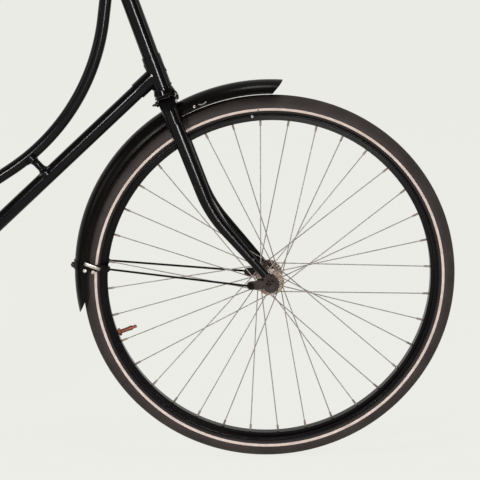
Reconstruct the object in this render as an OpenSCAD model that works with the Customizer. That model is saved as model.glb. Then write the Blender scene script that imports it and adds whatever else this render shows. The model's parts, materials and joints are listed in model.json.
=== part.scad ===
// Full-size step-through roadster bicycle with 28 inch wire wheels, a coaster
// brake, deep mudguards, a closed chain case and a two-leg centre stand.
// It faces +X, its right side is at -Y, and both tyres touch z = 0.

/* [Wheels] */
// Distance between the two wheel axles
wheelbase = 1150; // [1110:5:1220]
// Diameter of the rim where the tyre's beads sit
bead_dia = 635; // [590:1:640]
// Height of the tyre above the bead seat
tyre_h = 38.5; // [34:0.5:42]
// Width of the tyre's casing
tyre_w = 40; // [36:1:44]
// Thickness of the tyre's casing
casing_t = 4; // [3:0.5:6]
// Outer width of the rim over its rolled edges
rim_w = 34; // [30:1:36]
// Sheet thickness of the rim
rim_t = 1.6; // [1.2:0.1:2.4]
// Depth of the rim's centre channel below the bead seat
rim_well = 8.5; // [6:0.5:12]
// Spokes in each wheel, a multiple of four
spoke_count = 36; // [28:4:40]
// Pairs of neighbours that each spoke crosses
spoke_cross = 3; // [2:1:3]
// Diameter of a spoke
spoke_d = 2; // [1.8:0.1:2.4]
// Length of a spoke nipple below the rim
nipple_l = 12; // [9:1:15]
// Diameter of a spoke nipple
nipple_d = 4; // [3.6:0.1:4.6]
// Length of the valve's stem below the rim
valve_l = 38; // [28:1:46]

/* [Hubs] */
// Distance of each front flange from the wheel's middle
front_flange_y = 34; // [30:0.5:37]
// Radius of the front hub's circle of spoke holes
front_hole_r = 21; // [19:0.5:25]
// Distance of each rear flange from the wheel's middle
rear_flange_y = 30; // [26:0.5:32]
// Radius of the rear hub's circle of spoke holes
rear_hole_r = 27; // [24:0.5:32]
// Thickness of a hub flange
flange_t = 2.6; // [2:0.2:3.4]
// Metal outside the spoke holes
flange_rim = 5; // [4:0.5:7]
// Radius of the front hub's waist
front_waist_r = 11; // [9:0.5:14]
// Radius of the rear brake hub's barrel
rear_waist_r = 19; // [16:0.5:21]
// Diameter of both axles
axle_d = 9.5; // [8:0.5:10]
// Free length of axle beyond each nut
axle_free = 9; // [6:1:14]
// Inner width between the fork ends
fork_old = 96; // [92:1:104]
// Inner width between the rear frame ends
rear_old = 112; // [108:1:118]

/* [Steering] */
// Angle of the head tube from level
head_angle = 70.4; // [68:0.1:73]
// Offset of the front axle ahead of the steering axis
fork_rake = 65.7; // [55:0.1:75]
// Height of the crown's underside along the steering axis
crown_s = 379; // [372:1:392]
// Thickness of the fork crown over the wheel
crown_t = 18; // [15:1:22]
// Depth of the crown's shoulders beside the mudguard
crown_drop = 26; // [20:1:34]
// Width of the fork blades where they leave the crown
blade_w = 28; // [24:0.5:30]
// Thickness of the fork blades from side to side at the crown
blade_t = 19; // [16:0.5:22]
// Diameter of the fork blades at their lower end
blade_tip_d = 15; // [13:0.5:17]
// Distance of each blade's centre from the middle at the crown
blade_y = 41; // [40:0.5:46]
// Height along the steering axis where the blades begin to curve forward
blade_bend_s = 168; // [150:1:200]
// Radius of the blades' forward curve
blade_bend_r = 240; // [160:5:300]
// Length of the head tube
head_l = 326; // [300:1:340]
// Outer diameter of the head tube
head_d = 32; // [30:0.5:35]
// Height of the stem's arm along the steering axis
stem_s = 824; // [816:1:860]
// Forward reach of the stem's arm
stem_reach = 48; // [40:1:80]
// Diameter of the handlebar tube
bar_d = 22.2; // [20:0.2:24]
// Distance of each handlebar end from the middle
bar_end_y = 285; // [260:1:310]
// How far the handlebar's ends sweep back behind the clamp
bar_sweep = 215; // [180:1:250]
// How far the handlebar's bends rise over the clamp
bar_rise = 62; // [40:1:90]
// Length of a grip
grip_l = 120; // [100:1:140]
// Diameter of a grip
grip_d = 31; // [28:0.5:34]

/* [Frame] */
// Distance of the down tube's centre line from the front axle
down_dist = 436; // [430:1:446]
// Diameter of the down tube
down_d = 28.6; // [26:0.2:30]
// Diameter of the curved upper tube
loop_d = 25.4; // [22:0.2:27]
// Distance between the two parallel lower tubes
twin_gap = 52.8; // [48:0.2:60]
// Radius of the upper tube's curve
loop_r = 401.7; // [340:1:430]
// Lean of the upper tube's straight top from upright
loop_lean = 6.6; // [5:0.1:8]
// Height of the upper tube's joint below the top of the head tube
loop_drop = 46; // [42:1:60]
// Height of the bottom bracket above the ground
bb_h = 298; // [288:1:310]
// Gap between the seat tube and the rear mudguard
seat_clear = 8; // [6:0.5:24]
// Distance of the strut between the twin tubes from the bottom bracket
bridge_up = 188; // [150:1:260]
// Diameter of the strut between the twin tubes
bridge_d = 18; // [14:0.5:20]
// Width of the bottom bracket shell
shell_w = 72; // [68:1:76]
// Diameter of the bottom bracket shell
shell_d = 41; // [38:0.5:44]
// Angle of the seat tube from level
seat_angle = 66; // [65:0.1:68]
// Length of the seat tube from the bracket's middle
seat_tube_l = 560; // [520:1:600]
// Diameter of the seat tube
seat_d = 28.6; // [27:0.2:30]
// Height of the saddle clamp above the seat tube's top
post_out = 92; // [75:1:130]
// Diameter of the seat post
post_d = 25.4; // [24:0.2:26]
// Diameter of the chain stays
chainstay_d = 16; // [14:0.5:18]
// Diameter of the seat stays
seatstay_d = 13; // [12:0.5:15]
// Wall of the brazed lugs
lug_t = 2; // [1.5:0.1:3]
// Length of tube that a lug's socket covers
lug_l = 34; // [24:1:44]
// Thickness of the fork and frame ends
end_t = 5; // [4:0.5:6]

/* [Mudguards] */
// Width of a mudguard
guard_w = 56; // [50:1:58]
// Depth of a mudguard's skirt below its crown
guard_deep = 21; // [16:1:24]
// Sheet thickness of a mudguard
guard_t = 1.4; // [1:0.1:2]
// Height of the front mudguard's centre above the axle
guard_rise = 16; // [10:1:20]
// Angle of the front mudguard's front edge
front_guard_a0 = 86; // [70:0.2:92]
// Angle of the front mudguard's rear edge
front_guard_a1 = 192.4; // [180:0.2:200]
// Gap between the rear tyre and its mudguard
rear_guard_gap = 10.5; // [8:0.5:12]
// Angle of the rear mudguard's front edge
rear_guard_a0 = -8.5; // [-9:0.5:-6]
// Angle of the rear mudguard's rear edge
rear_guard_a1 = 202; // [190:1:215]
// Slant of a mudguard's front edge from square
guard_slant = 40; // [0:1:50]
// Slant of the front mudguard's rear edge from square
tail_slant = 56; // [0:1:60]
// Diameter of the mudguard stays
stay_d = 5; // [4:0.2:6]

/* [Drive] */
// Length of a crank from bracket to pedal
crank_l = 170; // [160:1:175]
// Angle of the right crank above level as it stands parked
crank_angle = 45; // [0:5:90]
// Distance of each crank's inner face from the middle
crank_y = 75; // [75:0.5:82]
// Thickness of a crank
crank_t = 13; // [11:0.5:15]
// Diameter of the crank axle
spindle_d = 17; // [15:0.5:18]
// Length of a pedal along its spindle
pedal_l = 92; // [80:1:100]
// Width of a pedal across its blocks
pedal_w = 76; // [64:1:84]
// Diameter of the pedal spindle
pedal_pin_d = 10; // [8:0.5:12]
// Radius of the chain case round the bracket
case_front_r = 92; // [84:1:96]
// Radius of the chain case round the rear axle
case_rear_r = 50; // [44:1:56]
// Distance of the chain case's inner face from the middle
case_y = 40; // [39:0.5:42]
// Thickness of the chain case
case_w = 27; // [26:0.5:30]

/* [Stand] */
// Distance of the stand's pivot behind the bottom bracket
stand_back = 75; // [70:1:82]
// Depth of the stand's pivot below the bottom bracket
stand_drop = 56; // [50:1:64]
// Distance of each foot from the middle
stand_foot_y = 130; // [115:1:145]
// Diameter of the stand's legs
stand_d = 14; // [12:0.5:15]
// Distance of the legs' upper ends from the middle
stand_top_y = 27; // [26:0.5:28]

/* [Saddle and carrier] */
// Length of the saddle
saddle_l = 255; // [230:1:280]
// Width of the saddle at its back
saddle_w = 205; // [180:1:225]
// Thickness of the saddle's pad
saddle_t = 52; // [44:1:60]
// Height of the carrier's deck above the rear mudguard
deck_gap = 24; // [18:1:40]
// Length of the carrier's deck
deck_l = 350; // [300:5:380]
// Width of the carrier's deck between its rails
deck_w = 112; // [100:1:130]
// Diameter of the carrier's rods
rod_d = 10; // [8:0.5:12]
// Rearward reach of the reflector from the mudguard
reflector_out = 22; // [18:1:30]

/* [Hidden] */
$fn = 48;

// Gap of a running fit, and gap between pieces that only lie on each other
run_gap = 0.5;
seat_gap = 0.3;
eps = 0.01;

// Main places
wheel_r = bead_dia / 2 + tyre_h;
rear_guard_r = wheel_r + rear_guard_gap + guard_t;
front_x = (wheelbase + rear_guard_r + reflector_out - wheel_r) / 2;
front_hub_at = [front_x, 0, wheel_r];
rear_hub_at = [front_x - wheelbase, 0, wheel_r];
// The bottom bracket lies where the seat tube just clears the rear mudguard
bb_dz = wheel_r - bb_h;
bb_dx = (rear_guard_r + seat_clear + seat_d / 2 + bb_dz * cos(seat_angle)) / sin(seat_angle);
bb_at = [rear_hub_at.x + bb_dx, 0, bb_h];
chainstay_l = norm(rear_hub_at - bb_at);
seat_dir = [-cos(seat_angle), 0, sin(seat_angle)];
seat_top = bb_at + seat_tube_l * seat_dir;
clamp_at = seat_top + post_out * seat_dir;
stay_dir = (rear_hub_at - bb_at) / chainstay_l;
stay_slope = atan2(bb_dz, bb_dx);

// A point given along the steering axis, ahead of it and to the left
function steer(s, ahead = 0, y = 0) = front_hub_at + [
    (ahead - fork_rake) * sin(head_angle) - s * cos(head_angle), y,
    (ahead - fork_rake) * cos(head_angle) + s * sin(head_angle)];
module on_steer(s = 0) translate(steer(s)) rotate([0, head_angle - 90, 0]) children();
head_dir = [-cos(head_angle), 0, sin(head_angle)];

// Headset heights along the steering axis
crown_top = crown_s + crown_t;
race_t = 4;
cup_t = 14;
cup_gap = 0.8;
head_s0 = crown_top + race_t + cup_gap + cup_t;
head_s1 = head_s0 + head_l;
steerer_d = 25.4;
nut_t = 17;

// The down tube: its centre line runs from the bottom bracket past the front axle
down_angle = asin(down_dist / norm(front_hub_at - bb_at)) + atan2(bb_dz, front_x - bb_at.x);
down_dir = [cos(down_angle), 0, sin(down_angle)];
down_nor = [-sin(down_angle), 0, cos(down_angle)];
// The place where two lines of the side view cross
function cross_at(p, u, q, v) = let (det = u.x * v.z - u.z * v.x,
    w = q - p, t = (w.x * v.z - w.z * v.x) / det) p + t * u;
down_top = cross_at(front_hub_at + down_dist * down_nor, down_dir, steer(0), head_dir);
down_low = cross_at(front_hub_at + down_dist * down_nor, down_dir, bb_at, seat_dir);
loop_top = steer(head_s1 - loop_drop);
loop_dir = [sin(loop_lean), 0, cos(loop_lean)];
loop_line = front_hub_at + (down_dist + twin_gap) * down_nor;
loop_corner = cross_at(loop_top, loop_dir, loop_line, down_dir);
loop_low = cross_at(loop_line, down_dir, bb_at, seat_dir);

// Front mudguard: a circle whose crown passes just under the fork crown
guard_at = front_hub_at + [-2, 0, guard_rise];
front_guard_r = norm(steer(crown_s - seat_gap) - guard_at);
section_r = (guard_w * guard_w / 4 + guard_deep * guard_deep) / (2 * guard_deep);

function unit(v) = v / norm(v);
module rod(a, b, d, d2 = undef) {
    v = b - a;
    translate(a)
        rotate([0, acos(v.z / norm(v)), atan2(v.y, v.x)])
            cylinder(h = norm(v), d1 = d, d2 = is_undef(d2) ? d : d2);
}
// A rod bent at the middle points of a path, with one bend radius each. The straight
// lengths are a hair thinner than the bends and run a little way into them.
weld = 0.3;
thinner = 0.1;
module bent(path, bends, d) {
    last = len(path) - 1;
    dirs = [for (i = [0:last - 1]) unit(path[i + 1] - path[i])];
    turn = [for (i = [1:last - 1]) acos(min(1, dirs[i - 1] * dirs[i]))];
    lead = [for (i = [1:last - 1]) bends[i - 1] * tan(turn[i - 1] / 2)];
    for (i = [0:last - 1]) {
        a = path[i] + (i == 0 ? 0 : lead[i - 1] - weld) * dirs[i];
        b = path[i + 1] - (i == last - 1 ? 0 : lead[i] - weld) * dirs[i];
        rod(a, b, d - thinner);
    }
    for (i = [1:last - 1]) {
        u = dirs[i - 1];
        n = unit(dirs[i] - (dirs[i] * u) * u);
        w = cross(-n, u);
        c = path[i] - lead[i - 1] * u + bends[i - 1] * n;
        multmatrix([[-n.x, u.x, w.x, c.x], [-n.y, u.y, w.y, c.y], [-n.z, u.z, w.z, c.z]])
            rotate_extrude(angle = turn[i - 1])
                translate([bends[i - 1], 0])
                    circle(d = d);
    }
}
// A tube with oval sections, swept along a path that lies upright: in-plane and sideways widths
function ring(p, u, a, b, n) = let (w = unit(cross(u, [0, 1, 0])))
    [for (k = [0:n - 1]) p + a / 2 * cos(360 * k / n) * w + b / 2 * sin(360 * k / n) * [0, 1, 0]];
module oval_sweep(path, wide, thick, n = 24) {
    m = len(path);
    dirs = [for (i = [0:m - 1]) unit(path[min(i + 1, m - 1)] - path[max(i - 1, 0)])];
    points = [for (i = [0:m - 1]) each ring(path[i], dirs[i], wide[i], thick[i], n)];
    sides = [for (i = [0:m - 2]) for (k = [0:n - 1]) let (j = (k + 1) % n)
        each [[i * n + k, i * n + j, (i + 1) * n + j], [i * n + k, (i + 1) * n + j, (i + 1) * n + k]]];
    caps = [[for (k = [n - 1:-1:0]) k], [for (k = [0:n - 1]) (m - 1) * n + k]];
    polyhedron(points, concat(sides, caps), convexity = 4);
}
// Flat plates and sleeves that stand upright along the bicycle
module plate(y0, y1) rotate([90, 0, 0]) translate([0, 0, -y1]) linear_extrude(y1 - y0) children();
module disc(at, d, y0, y1) translate([at.x, y0, at.z]) rotate([-90, 0, 0]) cylinder(h = y1 - y0, d = d);
function flat(p) = [p.x, p.z];
module link(p, q, d) {
    a = atan2(q.y - p.y, q.x - p.x);
    translate(p) circle(d = d);
    translate(q) circle(d = d);
    translate(p) rotate(a) translate([0, -d / 2 + thinner / 2]) square([norm(q - p), d - thinner]);
}
module mirrored() {
    children();
    mirror([0, 1, 0]) children();
}
module hex_nut(y0, y1, across) translate([0, y0, 0]) rotate([-90, 0, 0])
    cylinder(h = y1 - y0, d = across / cos(30), $fn = 6);
// Turns a shape made round Z into one round the wheel's axle
module at_hub(hub) translate(hub) rotate([90, 0, 0]) children();

// Frame tubes
module head_line(d, over = 0) on_steer(head_s0 - over) cylinder(h = head_l + 2 * over, d = d);
module down_line(d) rod(down_low, down_top, d);
module loop_line_rod(d) bent([loop_low, loop_corner, loop_top], [loop_r], d);
module seat_line(d, over = 0) rod(bb_at, seat_top + over * seat_dir, d);
module shell_line(d, over = 0) disc(bb_at, d, -shell_w / 2 - over, shell_w / 2 + over);

lower_sleeve = 66;
upper_sleeve = 2 * loop_drop - 8;
module head_tube() color("#111111") difference() {
    union() {
        head_line(head_d);
        on_steer(head_s0) cylinder(h = lower_sleeve, d = head_d + 2 * lug_t);
        on_steer(head_s1 - upper_sleeve) cylinder(h = upper_sleeve, d = head_d + 2 * lug_t);
        rod(down_top, down_top - (head_d / 2 + lug_l) * down_dir, down_d + 2 * lug_t);
        rod(loop_top, loop_top - (head_d + lug_l + 26) * loop_dir, loop_d + 2 * lug_t);
    }
    head_line(steerer_d + 4 * run_gap, 1);
    difference() {
        rod(down_top, down_top - 2 * lug_l * down_dir - head_d * down_dir, down_d + 2 * eps);
        head_line(head_d, 1);
    }
    difference() {
        rod(loop_top, loop_top - 2 * lug_l * loop_dir - 2 * head_d * loop_dir, loop_d + 2 * eps);
        head_line(head_d, 1);
    }
}
cup_d = head_d + 9;
module cup() difference() {
    union() {
        cylinder(h = cup_t * 0.45, d1 = cup_d - 4, d2 = cup_d);
        translate([0, 0, cup_t * 0.45]) cylinder(h = cup_t * 0.55, d1 = cup_d, d2 = head_d + 2 * lug_t);
    }
    translate([0, 0, -1]) cylinder(h = cup_t + 2, d = steerer_d + 4 * run_gap);
}
module head_cups() color("silver") {
    on_steer(head_s0 - cup_t) cup();
    on_steer(head_s1 + cup_t) mirror([0, 0, 1]) cup();
}
module down_tube() color("#111111") difference() {
    down_line(down_d);
    head_line(head_d, 20);
    shell_line(shell_d, 1);
    seat_line(seat_d);
}
module upper_tube() color("#111111") difference() {
    loop_line_rod(loop_d);
    head_line(head_d, 20);
    seat_line(seat_d + 2 * lug_t);
}
bridge_low = bb_at + bridge_up * down_dir;
module tube_bridge() color("#111111") difference() {
    rod(bridge_low, bridge_low + twin_gap * down_nor, bridge_d);
    down_line(down_d);
    loop_line_rod(loop_d);
}
seat_lug_l = 40;
ear_d = 17;
cluster_at = seat_top - 22 * seat_dir + (seat_d / 2 + 9) * [-sin(seat_angle), 0, -cos(seat_angle)];
stay_top_y = 29;
module seat_tube() color("#111111") difference() {
    union() {
        seat_line(seat_d);
        rod(seat_top - seat_lug_l * seat_dir, seat_top, seat_d + 2 * lug_t);
        rod(loop_low - 26 * seat_dir, loop_low + 26 * seat_dir, seat_d + 2 * lug_t);
        disc(cluster_at, ear_d, -stay_top_y - 7, stay_top_y + 7);
    }
    rod(seat_top - 200 * seat_dir, seat_top + seat_dir, post_d + 2 * seat_gap);
    shell_line(shell_d, 1);
}
cup_ring_t = 3;
module bracket_shell() color("#111111") difference() {
    union() {
        shell_line(shell_d);
        shell_line(shell_d - 5, cup_ring_t);
    }
    shell_line(spindle_d + 2 * run_gap, 10);
}
// Rear triangle
stay_bb_y = 26;
stay_end_y = rear_old / 2 + end_t / 2;
function stay_at(t, y0 = stay_bb_y) = bb_at + t * chainstay_l * stay_dir
    + [0, y0 + (stay_end_y - y0) * t, 0];
// The tongues of the frame ends butt against the stays' ends
tongue_less = 5;
stay_tip_l = 42;
cs_tip = stay_at(1 - stay_tip_l / chainstay_l);
ss_dir = unit(cluster_at - rear_hub_at);
ss_l = norm(cluster_at - rear_hub_at);
function ss_at(t) = rear_hub_at + t * ss_l * ss_dir
    + [0, stay_end_y + (stay_top_y - stay_end_y) * t, 0];
ss_tip = ss_at(stay_tip_l / ss_l);
module chain_stays() color("#111111") difference() {
    mirrored() rod(stay_at(0), cs_tip, chainstay_d, chainstay_d - 2);
    shell_line(shell_d, 1);
}
module seat_stays() color("#111111") difference() {
    mirrored() rod(ss_tip, ss_at(1), seatstay_d - 1, seatstay_d);
    disc(cluster_at, ear_d, -60, 60);
}
// Cross tubes between the stays: in front of the mudguard, and above it
bridge_rod_d = 12;
bridge_out = rear_guard_r + bridge_rod_d / 2 + seat_gap;
guard_bridge = stay_at(1 - bridge_out / chainstay_l);
top_bridge = ss_at(bridge_out / ss_l);
module stay_bridges() color("#111111") difference() {
    union() {
        disc(guard_bridge, bridge_rod_d, -guard_bridge.y, guard_bridge.y);
        disc(top_bridge, bridge_rod_d, -top_bridge.y, top_bridge.y);
    }
    mirrored() rod(stay_at(0), cs_tip, chainstay_d, chainstay_d - 2);
    mirrored() rod(ss_tip, ss_at(1), seatstay_d - 1, seatstay_d);
}
end_r = 16;
module rear_end_outline() {
    translate(flat(rear_hub_at)) circle(r = end_r);
    tongue(flat(rear_hub_at), flat(cs_tip), chainstay_d - 2 - tongue_less);
    tongue(flat(rear_hub_at), flat(ss_tip), seatstay_d - 1 - tongue_less);
}
// A straight tongue from p that ends just short of q
module tongue(p, q, w) translate(p) rotate(atan2(q.y - p.y, q.x - p.x)) translate([0, -w / 2])
    square([norm(q - p) - seat_gap, w]);
module rear_ends() color("#111111") difference() {
    mirrored() plate(rear_old / 2, rear_old / 2 + end_t) rear_end_outline();
    disc(rear_hub_at, axle_d + 2 * eps, -100, 100);
}
nut_h = 8;
nut_across = 15;
washer_t = 1.5;
cone_t = 5;
// Outside the rear nuts sit the eyes of the mudguard stays and of the carrier, then a second nut
eye_t = 3;
leg_t = 4;
outer_nut_h = 6;
nut_out = rear_old / 2 + end_t + washer_t + nut_h;
stay_eye_y = nut_out + seat_gap;
leg_eye_y = stay_eye_y + eye_t + seat_gap;
outer_nut_y = leg_eye_y + leg_t + seat_gap;
module axle(hub, old, half) translate(hub) {
    disc([0, 0, 0], axle_d, -half - axle_free, half + axle_free);
    mirrored() {
        y = old / 2 + end_t;
        disc([0, 0, 0], nut_across + 5, y, y + washer_t);
        hex_nut(y + washer_t, y + washer_t + nut_h, nut_across);
        hex_nut(old / 2 - cone_t, old / 2, nut_across);
    }
}
module rear_axle() color("gray") {
    axle(rear_hub_at, rear_old, outer_nut_y + outer_nut_h);
    translate(rear_hub_at) mirrored() hex_nut(outer_nut_y, outer_nut_y + outer_nut_h, nut_across);
}
module front_axle() color("gray") axle(front_hub_at, fork_old, fork_old / 2 + end_t + washer_t + nut_h);

// Saddle and post
rail_z = clamp_at.z + 14;
clamp_d = 30;
clamp_y = 16;
module seat_post() color("silver") {
    rod(seat_top - 120 * seat_dir, clamp_at, post_d);
    disc(clamp_at, clamp_d, -clamp_y, clamp_y);
}
saddle_x = clamp_at.x - 25;
saddle_base = rail_z + 38;
module saddle() color("#1a1512") hull() {
    for (s = [-1, 1]) translate([saddle_x - saddle_l / 2 + 48, s * (saddle_w / 2 - 48), saddle_base])
        intersection() {
            scale([1, 1, saddle_t / 48]) sphere(r = 48, $fn = 32);
            translate([-60, -60, 0]) cube([120, 120, 120]);
        }
    translate([saddle_x + saddle_l / 2 - 26, 0, saddle_base])
        intersection() {
            scale([1, 1, saddle_t * 0.8 / 26]) sphere(r = 26, $fn = 32);
            translate([-60, -60, 0]) cube([120, 120, 120]);
        }
}
rail_d = 7;
spring_r = 15;
spring_wire = 4;
spring_at = [saddle_x - saddle_l / 2 + 55, saddle_w / 2 - 55, rail_z + rail_d / 2 + spring_wire / 2];
spring_turns = 4;
module helix(r, h, turns, d, steps, n) {
    m = turns * steps;
    points = [for (i = [0:m]) let (a = 360 * i / steps) for (k = [0:n - 1])
        let (b = 360 * k / n, q = r + d / 2 * cos(b)) [q * cos(a), q * sin(a), h * i / m + d / 2 * sin(b)]];
    sides = [for (i = [0:m - 1]) for (k = [0:n - 1]) let (j = (k + 1) % n)
        each [[i * n + k, (i + 1) * n + k, (i + 1) * n + j], [i * n + k, (i + 1) * n + j, i * n + j]]];
    caps = [[for (k = [0:n - 1]) k], [for (k = [n - 1:-1:0]) m * n + k]];
    polyhedron(points, concat(sides, caps), convexity = 8);
}
module saddle_springs() color("silver") mirrored() translate(spring_at)
    helix(spring_r, saddle_base - seat_gap - spring_wire / 2 - spring_at.z, spring_turns, spring_wire,
        steps = 16, n = 8);
module saddle_rails() color("silver") difference() {
    rails();
    disc(clamp_at, clamp_d, -clamp_y, clamp_y);
}
module rails() {
    nose = [saddle_x + saddle_l / 2 - 40, 10, saddle_base - seat_gap - rail_d / 2];
    back = [spring_at.x, spring_at.y, rail_z];
    mirrored() bent([back - [0, spring_r + 12, 0], back, back + [45, 0, 0], [back.x + 80, 20, rail_z],
        [clamp_at.x + 55, 20, rail_z], nose], [14, 14, 16, 20], rail_d);
    rod([nose.x - 4, -13, nose.z], [nose.x - 4, 13, nose.z], rail_d - 1);
    rod([clamp_at.x, -26, rail_z], [clamp_at.x, 26, rail_z], rail_d + 5);
}
// The four points of a straight belt over two circles
function belt(p, rp, q, rq) = let (a = atan2(q.y - p.y, q.x - p.x), g = acos((rp - rq) / norm(q - p)))
    [p + rp * [cos(a + g), sin(a + g)], q + rq * [cos(a + g), sin(a + g)],
     q + rq * [cos(a - g), sin(a - g)], p + rp * [cos(a - g), sin(a - g)]];
// Closed chain case
function arc(p, r, a0, a1, n = 36) =
    [for (i = [0:n]) let (a = a0 + (a1 - a0) * i / n) p + r * [cos(a), sin(a)]];
module case_outline() {
    p = flat(bb_at);
    q = flat(rear_hub_at);
    a = atan2(q.y - p.y, q.x - p.x);
    g = acos((case_front_r - case_rear_r) / norm(q - p));
    polygon(concat(arc(p, case_front_r, a + g, a + 360 - g), arc(q, case_rear_r, a - g, a + g)));
}
case_skin = 2;
case_out = case_y + case_w;
module chain_case() color("#111111") difference() {
    plate(-case_out, -case_y) case_outline();
    // Way for the crank axle
    disc(bb_at, spindle_d + 11, -case_out - 1, 0);
    // Way for the rear hub, and for the axle with its nut
    disc(rear_hub_at, 2 * rear_waist_r + 12, -rear_old / 2 + 4, 0);
    disc(rear_hub_at, 2 * end_r + 2, -case_out - 1, 0);
    // Ways for the right chain stay and seat stay, open to the inside
    plate(case_skin - case_out, 0) {
        link(flat(stay_at(0.12)), flat(rear_hub_at), chainstay_d + 2);
        link(flat(rear_hub_at), flat(ss_at(0.2)), seatstay_d + 2);
    }
}
// Mudguards
module guard_section(r) translate([r - section_r, 0]) {
    difference() {
        circle(r = section_r, $fn = 64);
        circle(r = section_r - guard_t, $fn = 64);
        translate([-section_r - guard_deep, -2 * section_r]) square([2 * section_r, 4 * section_r]);
    }
    for (s = [-1, 1]) translate([section_r - guard_deep, s * guard_edge_y])
        circle(d = guard_edge_d, $fn = 16);
}
guard_edge_d = 3.2;
guard_edge_y = sqrt((section_r - guard_t / 2) * (section_r - guard_t / 2)
    - (section_r - guard_deep) * (section_r - guard_deep));
module guard(at, r, a0, a1) translate(at) rotate([90, 0, 0]) rotate([0, 0, a0])
    rotate_extrude(angle = a1 - a0, $fn = 128) guard_section(r);
// Slants an end of the guard, so that its crown reaches further than its skirts
module end_cut(at, r, a, slant, way) {
    inward = (guard_deep + guard_edge_d) / cos(slant);
    translate(at) rotate([90, 0, 0]) rotate([0, 0, a]) translate([r, 0, -guard_w])
        rotate([0, 0, way * slant]) translate([-inward, way > 0 ? 0 : -2 * guard_w, 0])
            cube([inward + guard_w, 2 * guard_w, 2 * guard_w]);
}
// A band over the guard whose ends reach inwards beside the tyre to hold the stay wires
band_t = 2;
band_w = 16;
tab_d = 13;
tab_y = guard_w / 2 + 1.2;
function on_circle(at, r, a) = at + [r * cos(a), 0, r * sin(a)];
module guard_band(at, r, a, tab_r) {
    wide = 180 * band_w / PI / r;
    translate(at) rotate([90, 0, 0]) rotate([0, 0, a - wide / 2])
        rotate_extrude(angle = wide, $fn = 128) translate([r - section_r, 0]) difference() {
            circle(r = section_r + band_t, $fn = 64);
            circle(r = section_r - guard_t / 2, $fn = 64);
            translate([-section_r - guard_deep - band_t, -2 * section_r])
                square([2 * section_r, 4 * section_r]);
        }
    mirrored() plate(tab_y, tab_y + band_t)
        link(flat(on_circle(at, r - guard_deep + 4, a)), flat(on_circle(at, tab_r, a)), tab_d);
}
// Angles of the stay bands round each mudguard, and how far in their tabs reach
rear_bands = [140, 184];
rear_tab_r = rear_guard_r - guard_deep - 20;
front_band = 177.5;
front_tab_r = front_guard_r - guard_deep - 40;
front_tip = on_circle(guard_at, front_tab_r, front_band);
module rear_guard() color("#111111") difference() {
    union() {
        guard(rear_hub_at, rear_guard_r, rear_guard_a0, rear_guard_a1);
        for (a = rear_bands) guard_band(rear_hub_at, rear_guard_r, a, rear_tab_r);
    }
    end_cut(rear_hub_at, rear_guard_r, rear_guard_a1, guard_slant, 1);
    // Room for the chain stays beside the front edge
    mirrored() translate(rear_hub_at) rotate([0, stay_slope, 0])
        translate([rear_guard_r - 1.5 * guard_deep, notch_y, -chainstay_d / 2 - seat_gap])
            cube([2 * guard_deep, guard_w, chainstay_d + 2 * seat_gap]);
}
notch_y = stay_at(1 - rear_guard_r / chainstay_l).y - chainstay_d / 2 - seat_gap;
module front_guard() color("#111111") difference() {
    union() {
        guard(guard_at, front_guard_r, front_guard_a0, front_guard_a1);
        guard_band(guard_at, front_guard_r, front_band, front_tab_r);
    }
    end_cut(guard_at, front_guard_r, front_guard_a0, guard_slant, -1);
    end_cut(guard_at, front_guard_r, front_guard_a1, tail_slant, 1);
}
// The upper end of a stay wire: a flat eye on the tab and its bolt
tip_y = tab_y + band_t + seat_gap;
bolt_head_d = 8;
bolt_head_t = 4;
module stay_tip(tip) {
    disc(tip, tab_d - 1, tip_y, tip_y + eye_t);
    disc(tip, bolt_head_d, tip_y + eye_t - 1, tip_y + eye_t + bolt_head_t);
}
// Each rear side has one eye on the axle with two wires, bent inwards beyond the chain case
wire_y = stay_eye_y + eye_t / 2;
wire_out = case_rear_r + 12;
module rear_guard_stays() color("#111111") difference() {
    mirrored() for (a = rear_bands) {
        u = [cos(a), 0, sin(a)];
        plate(stay_eye_y, stay_eye_y + eye_t)
            link(flat(rear_hub_at), flat(rear_hub_at + 16 * u), nut_across);
        bent([rear_hub_at + 14 * u + [0, wire_y, 0], rear_hub_at + wire_out * u + [0, wire_y, 0],
            rear_hub_at + rear_tab_r * u + [0, tip_y + eye_t / 2, 0]], [40], stay_d);
        stay_tip(on_circle(rear_hub_at, rear_tab_r, a));
    }
    disc(rear_hub_at, axle_d, -100, 100);
    plane_gap(stay_eye_y);
}
// Keeps the round wires off the nuts' outer faces and off the mudguard's tabs
module plane_gap(y) mirrored() disc(rear_hub_at, 4 * nut_across, 0, y);
lug_y = fork_old / 2 + end_t + seat_gap;
module front_guard_stays() color("#111111") mirrored() {
    disc(lug_at, tab_d - 1, lug_y, lug_y + eye_t);
    disc(lug_at, bolt_head_d, lug_y + eye_t - 1, lug_y + eye_t + bolt_head_t);
    rod(lug_at + [0, lug_y + eye_t / 2 + 1, 0], front_tip + [0, tip_y + eye_t / 2, 0], stay_d - 1);
    stay_tip(front_tip);
}
// Round reflector on a short post behind the rear mudguard
reflector_up = 70;
reflector_d = 50;
reflector_t = 14;
module reflector() color("#7a1010") difference() {
    at = [rear_hub_at.x - rear_guard_r - reflector_out, 0, rear_hub_at.z + reflector_up];
    union() {
        rod(at, at + [reflector_t, 0, 0], reflector_d);
        rod(at + [reflector_t - 1, 0, 0], at + [reflector_out + reflector_t, 0, 0], 12);
    }
    translate(rear_hub_at) rotate([90, 0, 0]) rotate([0, 0, 150])
        rotate_extrude(angle = 40, $fn = 128) translate([rear_guard_r - section_r, 0])
            circle(r = section_r + seat_gap, $fn = 64);
}
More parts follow.
